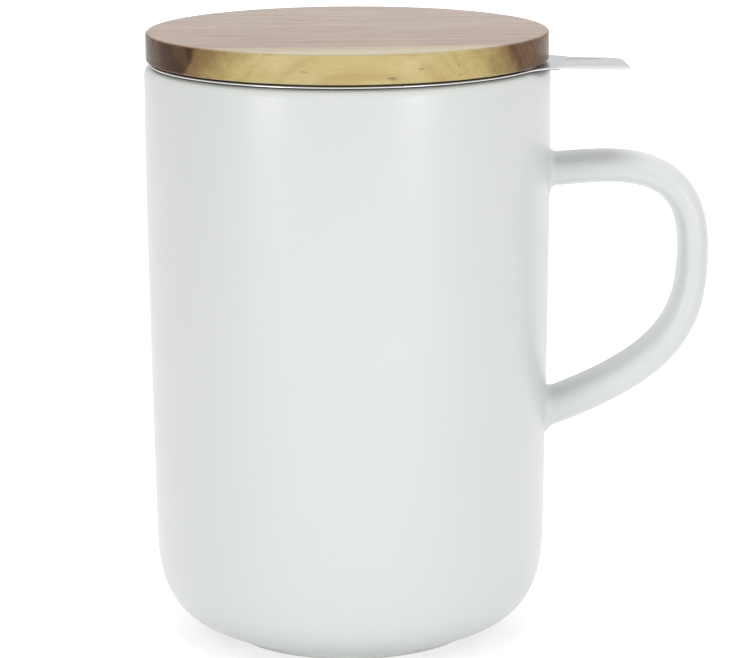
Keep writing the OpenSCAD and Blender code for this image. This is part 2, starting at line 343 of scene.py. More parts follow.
class Recipe(Graph):
    """A Geometry Nodes tree with named inputs, run once on a piece."""

    def __init__(self, name: str, sizes: Mapping[str, str]) -> None:
        """Makes the tree's inputs.

        Args:
            name: The tree's name.
            sizes: The kind of socket of each named input, besides geometry and material.
        """
        super().__init__(bpy.data.node_groups.new(name, "GeometryNodeTree"))
        sockets = {"Geometry": "Geometry", **sizes, "Material": "Material"}
        face = self.tree.interface
        self.keys = {
            label: face.new_socket(label, in_out="INPUT", socket_type="NodeSocket" + kind).identifier
            for label, kind in sockets.items()
        }
        face.new_socket("Geometry", in_out="OUTPUT", socket_type="NodeSocketGeometry")
        self.given = self.add("NodeGroupInput").outputs

    def close(self, geometry: Socket) -> None:
        """Ends the tree: instances become real and take the material.

        Args:
            geometry: The finished geometry.
        """
        real = self.add("GeometryNodeRealizeInstances", {"Geometry": geometry})
        wires = {"Geometry": real.outputs[0], "Material": self.given["Material"]}
        self.add("NodeGroupOutput", {0: self.add("GeometryNodeSetMaterial", wires).outputs[0]})

    def run(self, name: str, mesh: Mesh, finish: Material, **sizes: float) -> Piece:
        """Sets the tree on a new piece.

        Args:
            name: The piece's name.
            mesh: What the tree starts from.
            finish: Its material.
            **sizes: The tree's named inputs, with spaces written as underscores.

        Returns:
            The piece, with the modifier still live.
        """
        piece = add_piece(name, mesh)
        modifier = piece.modifiers.new(self.tree.name, "NODES")
        modifier.node_group = self.tree
        modifier[self.keys["Material"]] = finish
        for label, value in sizes.items():
            modifier[self.keys[label.replace("_", " ")]] = value
        return piece


class Lathe(Recipe):
    """Turns outlines into round pieces, by sweeping each one along a circle."""

    def __init__(self) -> None:
        """Builds the tree."""
        super().__init__("turned", {"Radius": "Float", "Steps": "Int"})
        outline = self.add("GeometryNodeMeshToCurve", {"Mesh": self.given["Geometry"]})
        wires = {"Resolution": self.given["Steps"], "Radius": self.given["Radius"]}
        circle = self.add("GeometryNodeCurvePrimitiveCircle", wires)
        wires = {"Curve": circle.outputs["Curve"], "Profile Curve": outline.outputs[0]}
        swept = self.add("GeometryNodeCurveToMesh", wires)
        wires = {"Geometry": swept.outputs[0], "Distance": WELD}
        self.close(self.add("GeometryNodeMergeByDistance", wires).outputs[0])

    def turn(
        self,
        name: str,
        outline: Sequence[Point],
        finish: Material,
        ring: bool = False,
        steps: int = 192,
    ) -> Piece:
        """Turns one piece.

        Args:
            name: The piece's name.
            outline: Radius and height of each point of its outline.
            finish: Its material.
            ring: Whether the outline closes on itself, clear of the axis.
            steps: Number of faces round the axis.

        Returns:
            The finished piece.
        """
        reach = max(radius for radius, _ in outline)
        # the sweep turns a profile's X outwards and its Y down
        points = [(radius - reach, -z, 0.0) for radius, z in outline]
        edges = [(i, i + 1) for i in range(len(points) - 1)]
        if ring:
            edges.append((len(points) - 1, 0))
        mesh = bpy.data.meshes.new(name)
        mesh.from_pydata(points, edges, [])
        return settle(self.run(name, mesh, finish, Radius=reach, Steps=steps))


class PerforatedSheet(Recipe):
    """Rolls a sheet of staggered holes round Z, from one cell that repeats in rows."""

    SIZES = {
        "Columns": "Int",
        "Rows": "Int",
        "Plain Rows": "Int",
        "Seam Columns": "Int",
        "Cell Width": "Float",
        "Cell Height": "Float",
        "Hole": "Float",
        "Radius": "Float",
        "Low": "Float",
        "Turn": "Float",
    }
    # Points of two cells closer together than this are one point
    CELL_WELD = 5 * WELD
    # Points along each side of a plain cell, as along a holed one's
    SIDE_POINTS = 3

    def __init__(self) -> None:
        """Builds the tree."""
        super().__init__("perforated_sheet", self.SIZES)
        given = self.given
        cells = self._cells()
        x, y, _ = self.parts(self.add("GeometryNodeInputPosition").outputs[0])
        row = self.math("DIVIDE", y, given["Cell Height"])
        column = self.math("DIVIDE", x, given["Cell Width"])
        top = self.math("SUBTRACT", given["Rows"], given["Plain Rows"])
        seam = self.math("SUBTRACT", given["Seam Columns"], STAGGER / 2)
        drilled = self.product(
            self.math("GREATER_THAN", row, given["Plain Rows"]),
            self.math("LESS_THAN", row, top),
            self.math("GREATER_THAN", column, seam),
        )
        plain = self.math("SUBTRACT", 1.0, drilled)
        wires = {"Points": cells, "Selection": drilled, "Instance": self._holed_cell()}
        holed_cells = self.add("GeometryNodeInstanceOnPoints", wires)
        wires = {"Points": cells, "Selection": plain, "Instance": self._plain_cell()}
        plain_cells = self.add("GeometryNodeInstanceOnPoints", wires)
        sheet = self.add("GeometryNodeJoinGeometry", {0: holed_cells.outputs[0]})
        self.tree.links.new(plain_cells.outputs[0], sheet.inputs[0])
        flat = self.add("GeometryNodeRealizeInstances", {"Geometry": sheet.outputs[0]})
        wires = {"Geometry": self._wrap(flat.outputs[0]), "Distance": self.CELL_WELD}
        self.close(self.add("GeometryNodeMergeByDistance", wires).outputs[0])

    def _cells(self) -> Socket:
        """Lays out the middles of all cells, with every second row shifted.

        Returns:
            The points.
        """
        given = self.given
        columns, rows = (self.math("SUBTRACT", given[k], 1) for k in ("Columns", "Rows"))
        wires = {"Size X": columns, "Size Y": rows}
        wires |= {"Vertices X": given["Columns"], "Vertices Y": given["Rows"]}
        grid = self.add("GeometryNodeMeshGrid", wires)
        x, y, _ = self.parts(self.add("GeometryNodeInputPosition").outputs[0])
        column = self.math("MULTIPLY_ADD", columns, 0.5, x)
        row = self.math("ROUND", self.math("MULTIPLY_ADD", rows, 0.5, y))
        shift = self.product(self.math("MODULO", row, 2.0), STAGGER)
        place = self.vector(
            self.product(self.total(column, shift), given["Cell Width"]),
            self.product(self.total(row, 0.5), given["Cell Height"]),
            0.0,
        )
        wires = {"Geometry": grid.outputs[0], "Position": place}
        return self.add("GeometryNodeSetPosition", wires).outputs[0]

    def _plain_cell(self) -> Socket:
        """Makes a cell with no hole.

        Returns:
            The cell, flat and centred.
        """
        sizes = {"Size X": self.given["Cell Width"], "Size Y": self.given["Cell Height"]}
        wires = sizes | {"Vertices X": self.SIDE_POINTS, "Vertices Y": self.SIDE_POINTS}
        return self.add("GeometryNodeMeshGrid", wires).outputs[0]

    def _holed_cell(self) -> Socket:
        """Makes a cell with a hole: a strip bent round it, from its edge to the cell's.

        Returns:
            The cell, flat and centred.
        """
        wires = {"Size X": float(HOLE_SIDES), "Size Y": 1.0}
        wires |= {"Vertices X": HOLE_SIDES + 1, "Vertices Y": 2}
        strip = self.add("GeometryNodeMeshGrid", wires)
        x, y, _ = self.parts(self.add("GeometryNodeInputPosition").outputs[0])
        turn = self.product(x, math.tau / HOLE_SIDES)
        ways = [self.math("COSINE", turn), self.math("SINE", turn)]
        most = self.math("MAXIMUM", *(self.math("ABSOLUTE", way) for way in ways))
        outward = self.total(y, 0.5)
        places = []
        for way, size in zip(ways, ("Cell Width", "Cell Height")):
            edge = self.product(way, self.given["Hole"], 0.5)
            side = self.product(self.math("DIVIDE", way, most), self.given[size], 0.5)
            places.append(self.math("MULTIPLY_ADD", self.math("SUBTRACT", side, edge), outward, edge))
        wires = {"Geometry": strip.outputs[0], "Position": self.vector(*places, 0.0)}
        return self.add("GeometryNodeSetPosition", wires).outputs[0]

    def _wrap(self, sheet: Socket) -> Socket:
        """Rolls the flat sheet up round Z.

        Args:
            sheet: The flat sheet.

        Returns:
            The tube.
        """
        given = self.given
        x, y, _ = self.parts(self.add("GeometryNodeInputPosition").outputs[0])
        around = self.product(given["Columns"], given["Cell Width"])
        turn = self.total(self.product(self.math("DIVIDE", x, around), math.tau), given["Turn"])
        place = self.vector(
            self.product(self.math("COSINE", turn), given["Radius"]),
            self.product(self.math("SINE", turn), given["Radius"]),
            self.total(y, given["Low"]),
        )
        return self.add("GeometryNodeSetPosition", {"Geometry": sheet, "Position": place}).outputs[0]


class Drilling(Recipe):
    """Drills staggered holes through a flat floor, inside a circle."""

    def __init__(self) -> None:
        """Builds the tree."""
        sizes = {"Count": "Int", "Pitch": "Float", "Hole": "Float", "Reach": "Float"}
        super().__init__("drilled_floor", sizes | {"Level": "Float", "Depth": "Float"})
        given = self.given
        span = self.math("SUBTRACT", given["Count"], 1)
        wires = {"Size X": span, "Size Y": span}
        wires |= {"Vertices X": given["Count"], "Vertices Y": given["Count"]}
        grid = self.add("GeometryNodeMeshGrid", wires)
        x, y, _ = self.parts(self.add("GeometryNodeInputPosition").outputs[0])
        row = self.math("ROUND", y)
        shift = self.product(self.math("MODULO", self.math("ABSOLUTE", row), 2.0), STAGGER)
        place = self.vector(
            self.product(self.total(x, shift), given["Pitch"]),
            self.product(row, ROW_STEP, given["Pitch"]),
            given["Level"],
        )
        wires = {"Geometry": grid.outputs[0], "Position": place}
        points = self.add("GeometryNodeSetPosition", wires)
        px, py, _ = self.parts(self.add("GeometryNodeInputPosition").outputs[0])
        inside = self.math("LESS_THAN", self.length(px, py), given["Reach"])
        wires = {"Vertices": HOLE_SIDES, "Radius": self.product(given["Hole"], 0.5)}
        drill = self.add("GeometryNodeMeshCylinder", wires | {"Depth": given["Depth"]})
        wires = {"Points": points.outputs[0], "Selection": inside, "Instance": drill.outputs[0]}
        drills = self.add("GeometryNodeInstanceOnPoints", wires)
        real = self.add("GeometryNodeRealizeInstances", {"Geometry": drills.outputs[0]})
        wires = {"Mesh 1": given["Geometry"], "Mesh 2": real.outputs[0]}
        cut = self.add("GeometryNodeMeshBoolean", wires, operation="DIFFERENCE", solver="MANIFOLD")
        self.close(cut.outputs[0])


class WeldSpots(Recipe):
    """Sets a flat round weld spot on each point of a mesh, facing away from the axis."""

    # Faces round a spot, and from one side of it to the other
    AROUND, ACROSS = 10, 6

    def __init__(self) -> None:
        """Builds the tree."""
        super().__init__("weld_spots", {"Spot": "Float", "Flatness": "Float"})
        given = self.given
        wires = {"Segments": self.AROUND, "Rings": self.ACROSS}
        wires |= {"Radius": self.product(given["Spot"], 0.5)}
        ball = self.add("GeometryNodeMeshUVSphere", wires)
        scale = self.vector(1.0, 1.0, given["Flatness"])
        flat = self.add("GeometryNodeTransform", {"Geometry": ball.outputs[0], "Scale": scale})
        x, y, _ = self.parts(self.add("GeometryNodeInputPosition").outputs[0])
        wires = {"Vector": self.vector(x, y, 0.0)}
        facing = self.add("FunctionNodeAlignRotationToVector", wires, axis="Z")
        wires = {"Points": given["Geometry"], "Instance": flat.outputs[0]}
        wires |= {"Rotation": facing.outputs[0]}
        self.close(self.add("GeometryNodeInstanceOnPoints", wires).outputs[0])


# ---- Finishes ----


class Coat(Graph):
    """The shader tree of one finish, on Object coordinates."""

    # Sockets by which a Mix node takes two colours and gives one
    MIX_LOW, MIX_HIGH, MIX_RESULT = 6, 7, 2

    def __init__(self, name: str, **shader: Any) -> None:
        """Makes the material.

        Args:
            name: The material's name.
            **shader: Values of the shader's own inputs, with spaces as underscores.
        """
        self.material = bpy.data.materials.new(name)
        self.material.use_nodes = True
        super().__init__(self.material.node_tree)
        self.tree.nodes.clear()
        wires = {label.replace("_", " "): value for label, value in shader.items()}
        self.shader = self.add("ShaderNodeBsdfPrincipled", wires)
        self.add("ShaderNodeOutputMaterial", {"Surface": self.shader.outputs[0]})
        space = self.add("ShaderNodeTexCoord")
        self.place, self.normal = space.outputs["Object"], space.outputs["Normal"]

    def feed(self, label: str, value: Socket) -> None:
        """Joins a socket to one of the shader's inputs."""
        self.tree.links.new(value, self.shader.inputs[label])

    def noise(self, spacing: Spacing, detail: float = 2.0) -> Socket:
        """Makes noise of 0 to 1.

        Args:
            spacing: Its features per metre along X, Y and Z.
            detail: How many finer layers it has.

        Returns:
            The socket with the noise.
        """
        spread = {0: self.place, 1: spacing}
        wires = {"Vector": self.add("ShaderNodeVectorMath", spread, operation="MULTIPLY").outputs[0]}
        return self.grain(wires | {"Scale": 1.0, "Detail": detail}, "3D")

    def grain(self, wires: Mapping[str, Any], dimensions: str) -> Socket:
        """Adds a Noise Texture node and returns its value."""
        return self.add("ShaderNodeTexNoise", wires, noise_dimensions=dimensions).outputs[0]

    def mix(self, share: Any, low: Any, high: Any) -> Socket:
        """Mixes two colours: low where share is 0, high where it is 1."""
        wires = {0: share, self.MIX_LOW: low, self.MIX_HIGH: high}
        return self.add("ShaderNodeMix", wires, data_type="RGBA").outputs[self.MIX_RESULT]

    def bump(self, height: Socket, depth: float) -> None:
        """Raises the surface by up to depth metres."""
        wires = {"Height": height, "Distance": depth, "Strength": 1.0}
        self.feed("Normal", self.add("ShaderNodeBump", wires).outputs[0])


@dataclass(frozen=True)
class Glaze:
    """Satin off-white glaze, faintly uneven, over a softly rippled body.

    Attributes:
        colour: Colour where it lies thick.
        cloud: Colour where it lies thin.
        clouds: Spacing of thick and thin places.
        roughness: Least and greatest roughness.
        dull_spots: Spacing of rougher and smoother places.
        ripples: Spacing of the ripples.
        ripple_h: Height of the ripples.
        ior: Index of refraction.
    """

    colour: Rgba = linear(225, 228, 225)
    cloud: Rgba = linear(221, 225, 222)
    clouds: Spacing = (22, 22, 14)
    roughness: Point = (0.28, 0.34)
    dull_spots: Spacing = (160, 160, 160)
    ripples: Spacing = (320, 320, 260)
    ripple_h: float = 0.012 * MM
    ior: float = 1.6

    def material(self) -> Material:
        """Makes the material.

        Returns:
            The material.
        """
        coat = Coat("satin_glaze", IOR=self.ior)
        clouds = coat.noise(self.clouds, detail=3)
        coat.feed("Base Color", coat.mix(clouds, self.colour, self.cloud))
        dull_spots = coat.noise(self.dull_spots, detail=3)
        coat.feed("Roughness", coat.ramp(dull_spots, *NOISE, self.roughness))
        coat.bump(coat.noise(self.ripples), self.ripple_h)
        return coat.material


@dataclass(frozen=True)
class Bisque:
    """Bare fired clay of the foot ring, wiped free of glaze.

    Attributes:
        colour: Colour of the clay.
        speck: Colour of its specks.
        specks: Spacing of the specks.
        speck_at: Noise at which a speck begins and is full.
        pits: Spacing of the pits.
        pit_h: Depth of the pits.
        roughness: Its roughness.
        ior: Index of refraction.
    """

    colour: Rgba = linear(214, 205, 190)
    speck: Rgba = linear(176, 160, 140)
    specks: Spacing = (2600, 2600, 2600)
    speck_at: Point = (0.6, 0.72)
    pits: Spacing = (3200, 3200, 3200)
    pit_h: float = 0.04 * MM
    roughness: float = 0.85
    ior: float = 1.45

    def material(self) -> Material:
        """Makes the material.

        Returns:
            The material.
        """
        coat = Coat("bare_clay", Roughness=self.roughness, IOR=self.ior)
        specks = coat.ramp(coat.noise(self.specks), *self.speck_at)
        coat.feed("Base Color", coat.mix(specks, self.colour, self.speck))
        coat.bump(coat.noise(self.pits, detail=3), self.pit_h)
        return coat.material


class Brushing(Enum):
    """Which way the fine lines of the steel run, as their spacing."""

    ROUND = (120.0, 120.0, 9000.0)
    UPRIGHT = (9000.0, 9000.0, 60.0)
    LEVEL = (90.0, 9000.0, 9000.0)


@dataclass(frozen=True)
class Steel:
    """Stainless sheet: a polished flange and tab, with the rest satin.

    Where the rim's edge turns under beside the mug's lip, its downward faces carry a painted shade.

    Attributes:
        brushing: Which way its fine lines run.
        line_h: Height of the lines.
        roughness: Least and greatest roughness.
        satin: Colour of the satin sheet.
        polished: Colour of the flange and the tab.
        polished_r: Distances from the axis at which the polish begins and is full.
        painted_shade: Colour of the painted shade on the underside.
        shade_in_r: Distances from the axis at which the painted shade's ring begins and is full.
        shade_out_r: Distances from the axis at which it fades and ends.
        shade_facing: How far up a face looks where the painted shade fades and ends, if 1 is
            straight up and -1 straight down.
        grazing: Tint of what the steel mirrors at a grazing angle.
    """

    brushing: Brushing
    line_h: float = 0.004 * MM
    roughness: Point = (0.19, 0.31)
    satin: Rgba = linear(203, 203, 206)
    polished: Rgba = linear(231, 231, 233)
    polished_r: Point = (39.2 * MM, 39.6 * MM)
    painted_shade: Rgba = linear(46, 44, 42)
    shade_in_r: Point = (41.2 * MM, 41.6 * MM)
    shade_out_r: Point = (45.8 * MM, 46.8 * MM)
    shade_facing: Point = (-0.5, 0.0)
    grazing: Rgba = (0.72, 0.72, 0.73, 1.0)

    def material(self) -> Material:
        """Makes the material.

        Returns:
            The material.
        """
        name = "steel_" + self.brushing.name.lower()
        coat = Coat(name, Metallic=1.0, Specular_Tint=self.grazing)
        lines = coat.noise(self.brushing.value, detail=3)
        coat.feed("Roughness", coat.ramp(lines, *NOISE, self.roughness))
        coat.bump(lines, self.line_h)
        x, y, _ = coat.parts(coat.place)
        out = coat.length(x, y)
        # painted shade: downward faces in the ring beside the lip are darkened
        painted_shade = coat.product(
            coat.ramp(out, *self.shade_in_r),
            coat.ramp(out, *self.shade_out_r, FALLING),
            coat.ramp(coat.parts(coat.normal)[2], *self.shade_facing, FALLING),
        )
        sheet = coat.mix(coat.ramp(out, *self.polished_r), self.satin, self.polished)
        coat.feed("Base Color", coat.mix(painted_shade, sheet, self.painted_shade))
        return coat.material


@dataclass(frozen=True)
class Acacia:
    """Oiled acacia: pale sapwood along the front edge and brown heartwood behind it.

    The board's fibres run nearly along X, and its growth rings lie round a pith above
    and behind the lid, so the same rings show on the top, on the rim and on the plug.
    The top has its own lighter, greyer colours, which are partly a painted sheen.
    The rim's end grain has drunk the oil and is dull.

    Attributes:
        sap: Sapwood on the rim, between its fine lines and on them.
        sap_lines: Figure at which a fine line of the sapwood begins and is full.
        heart: Heartwood on the rim, between its fine lines and on them.
        heart_lines: Figure at which a fine line of the heartwood begins and is full.
        tan: Wood between heartwood and sapwood, on the rim.
        dark: Darkest end grain.
        dark_x: Places along X where the end grain is darkest and where it no longer is.
        patches: Spacing of the dark patches.
        patch_at: Noise at which a dark patch begins and is full.
        patch_dark: How dark the wood is outside the patches and in them.
        grain_dark: How much of that the long grain shows, and how much the end grain.
        top_sap_sheen: Sapwood on the top, with a painted sheen, between its fine lines and
            on them.
        top_heart_sheen: Heartwood on the top, with a painted sheen, between its fine lines
            and on them.
        top_tan_sheen: Wood between heartwood and sapwood on the top, with a painted sheen.
        top_facing: How far up or down a face looks where the top's colours begin and are
            full, if 1 is straight.
        end_facing: How far along X a face looks where end grain begins and is full.
        turn: Angle of the fibres from X.
        fibres: Spacing of the fibres.
        pith_y: Place of the pith along Y.
        pith_z: Height of the pith.
        ring_w: Width of a growth ring.
        waves: Spacing of the rings' waves.
        wave_h: Height of the waves.
        heart_r: Radius of the ring at which the heartwood ends.
        sap_r: Radius of the ring from which all is sapwood.
        lean: How much further from the pith the heartwood ends for each step along X.
        edge_w: Width of the heartwood's edge.
        mottles: Spacing of the mottling where one wood turns into the other.
        edge_mottle: How far the heartwood's edge is mottled.
        sap_mottle: How far the sapwood's edge is mottled.
        pore: Colour of the open pores.
        pores: Spacing of the pores.
        pore_at: Noise at which a pore begins and is full.
        pore_share: How much of a pore's colour shows.
        roughness: Least and greatest roughness.
        gloss: Specular level of the long grain and of the end grain.
        relief_h: Height of the fibres.
        relief_share: How much of that height the rim has, and how much the top.
        ior: Index of refraction.
    """

    sap: tuple[Rgba, Rgba] = (linear(204, 185, 126), linear(192, 169, 107))
    sap_lines: Point = (0.42, 0.68)
    heart: tuple[Rgba, Rgba] = (linear(120, 92, 66), linear(100, 74, 52))
    heart_lines: Point = (0.38, 0.64)
    tan: Rgba = linear(140, 113, 76)
    dark: Rgba = linear(74, 50, 33)
    dark_x: Point = (-30 * MM, 25 * MM)
    patches: Spacing = (120, 260, 200)
    patch_at: Point = (0.4, 0.6)
    patch_dark: Point = (0.55, 1.0)
    grain_dark: Point = (0.25, 1.0)
    top_sap_sheen: tuple[Rgba, Rgba] = (linear(191, 177, 136), linear(184, 166, 121))
    top_heart_sheen: tuple[Rgba, Rgba] = (linear(154, 122, 97), linear(136, 104, 80))
    top_tan_sheen: Rgba = linear(166, 140, 106)
    top_facing: Point = (0.3, 0.95)
    end_facing: Point = (0.1, 0.7)
    turn: float = math.radians(3)
    fibres: Spacing = (60, 900, 900)
    pith_y: float = 26.3 * MM
    pith_z: float = 155 * MM
    ring_w: float = 1.4 * MM
    waves: Spacing = (24, 60, 60)
    wave_h: float = 3 * MM
    heart_r: float = 60.3 * MM
    sap_r: float = 69 * MM
    lean: float = 0.022
    edge_w: float = 1.4 * MM
    mottles: Spacing = (150, 420, 420)
    edge_mottle: float = 2.2 * MM
    sap_mottle: float = 7 * MM
    pore: Rgba = linear(58, 38, 26)
    pores: Spacing = (165, 850, 850)
    pore_at: Point = (0.69, 0.79)
    pore_share: float = 0.45
    roughness: Point = (0.24, 0.32)
    gloss: Point = (0.5, 0.06)
    relief_h: float = 0.006 * MM
    relief_share: Point = (1.0, 0.2)
    ior: float = 1.5

    def _rings(self, coat: Coat) -> Socket:
        """Measures how far a place is from the pith.

        Args:
            coat: The shader tree.

        Returns:
            The radius of its growth ring.
        """
        x, y, z = coat.parts(coat.place)
        across = coat.total(
            coat.product(y, math.cos(self.turn)), coat.product(x, -math.sin(self.turn))
        )
        radius = coat.length(
            coat.math("SUBTRACT", across, self.pith_y), coat.math("SUBTRACT", z, self.pith_z)
        )
        wave = coat.math("SUBTRACT", coat.noise(self.waves, detail=3), 0.5)
        return coat.total(radius, coat.product(wave, self.wave_h))

    def _heartwood(self, coat: Coat, figure: Socket, top: Socket, ends: Socket) -> Socket:
        """Colours the heartwood, which is darkest in patches of the end grain at the left.

        Args:
            coat: The shader tree.
            figure: The fine lines.
            top: How much a face belongs to the top.
            ends: How much a face shows end grain.

        Returns:
            The colour.
        """
        lines = coat.ramp(figure, *self.heart_lines)
        patches = coat.noise(self.patches, detail=4)
        patches = coat.ramp(patches, *self.patch_at, self.patch_dark)
        left = coat.ramp(coat.parts(coat.place)[0], *self.dark_x, FALLING)
        dark = coat.product(patches, left, coat.ramp(ends, 0.0, 1.0, self.grain_dark))
        rim = coat.mix(dark, coat.mix(lines, *self.heart), self.dark)
        # the top's heartwood is lighter and greyer: its wood colour with a painted sheen
        return coat.mix(top, rim, coat.mix(lines, *self.top_heart_sheen))

    def _wood(
        self, coat: Coat, brown: Socket, pale: Socket, top: Socket, ring: Socket
    ) -> Socket:
        """Turns heartwood into sapwood from ring to ring, through a tan between them.

        Args:
            coat: The shader tree.
            brown: Colour of the heartwood.
            pale: Colour of the sapwood.
            top: How much a face belongs to the top.
            ring: Radius of the growth ring.

        Returns:
            The colour.
        """
        x = coat.parts(coat.place)[0]
        half = self.edge_w / 2
        mottle = coat.math("SUBTRACT", coat.noise(self.mottles, detail=4), 0.5)
        # the heartwood's edge runs straighter than the rings
        inner = coat.total(
            ring, coat.product(x, -self.lean), coat.product(mottle, self.edge_mottle)
        )
        edge = coat.ramp(inner, self.heart_r - half, self.heart_r + half)
        # the top's tan is lighter and greyer, with a painted sheen
        brown = coat.mix(edge, brown, coat.mix(top, self.tan, self.top_tan_sheen))
        outer = coat.total(ring, coat.product(mottle, self.sap_mottle))
        return coat.mix(coat.ramp(outer, self.heart_r, self.sap_r), brown, pale)

    def material(self) -> Material:
        """Makes the material.

        Returns:
            The material.
        """
        coat = Coat("oiled_acacia", IOR=self.ior)
        ring = self._rings(coat)
        turns = {"W": coat.product(ring, 1 / self.ring_w), "Scale": 1.0, "Detail": 3.0}
        fibre = coat.noise(self.fibres, detail=4)
        figure = coat.total(coat.product(coat.grain(turns, "1D"), 0.5), coat.product(fibre, 0.5))
        facing = coat.parts(coat.normal)
        top = coat.ramp(coat.math("ABSOLUTE", facing[2]), *self.top_facing)
        ends = coat.ramp(coat.math("ABSOLUTE", facing[0]), *self.end_facing)
        lines = coat.ramp(figure, *self.sap_lines)
        # the top's sapwood is paler and greyer, with a painted sheen
        pale = coat.mix(top, coat.mix(lines, *self.sap), coat.mix(lines, *self.top_sap_sheen))
        wood = self._wood(coat, self._heartwood(coat, figure, top, ends), pale, top, ring)
        pores = coat.noise(self.pores, detail=1)
        pores = coat.ramp(pores, *self.pore_at, (0.0, self.pore_share))
        coat.feed("Base Color", coat.mix(pores, wood, self.pore))
        coat.feed("Specular IOR Level", coat.ramp(ends, 0.0, 1.0, self.gloss))
        coat.feed("Roughness", coat.ramp(fibre, *NOISE, self.roughness))
        # the top is sanded smoother than the rim
        relief = coat.math("SUBTRACT", fibre, pores)
        share = coat.ramp(top, 0.0, 1.0, self.relief_share)
        coat.bump(coat.product(relief, share), self.relief_h)
        return coat.material


@dataclass(frozen=True)
class Silicone:
    """Milky silicone rubber, which lets a little light in.

    The outer edge of its lip carries a painted shade, as dark as the slot's shadow.

    Attributes:
        colour: Its colour.
        dust: Its colour under fine dust.
        dust_at: Noise at which the dust begins and is full.
        grains: Spacing of the dust.
        grain_h: Height of the dust.
        slot_shade: Colour of the painted shade on the lip's edge.
        slot_shade_r: Distances from the axis at which the painted shade begins and is full.
        milkiness: Share of the light that goes in.
        depth: How deep it goes in.
        roughness: Its roughness.
        ior: Index of refraction.
    """

    colour: Rgba = linear(228, 229, 224)
    dust: Rgba = linear(216, 217, 211)
    dust_at: Point = (0.4, 0.8)
    grains: Spacing = (900, 900, 900)
    grain_h: float = 0.01 * MM
    slot_shade: Rgba = linear(92, 91, 87)
    slot_shade_r: Point = (40.1 * MM, 40.5 * MM)
    milkiness: float = 0.4
    depth: float = 1.5 * MM
    roughness: float = 0.45
    ior: float = 1.43

    def material(self) -> Material:
        """Makes the material.

        Returns:
            The material.
        """
        shine = {"Roughness": self.roughness, "IOR": self.ior}
        light = {"Subsurface_Weight": self.milkiness, "Subsurface_Scale": self.depth}
        coat = Coat("milky_silicone", **shine, **light)
        dust = coat.noise(self.grains)
        milky = coat.mix(coat.ramp(dust, *self.dust_at), self.colour, self.dust)
        x, y, _ = coat.parts(coat.place)
        # painted shade on the lip's outer edge, standing in for the shadow in the slot
        edge = coat.ramp(coat.length(x, y), *self.slot_shade_r)
        coat.feed("Base Color", coat.mix(edge, milky, self.slot_shade))
        coat.bump(dust, self.grain_h)
        return coat.material


# ---- The mug ----


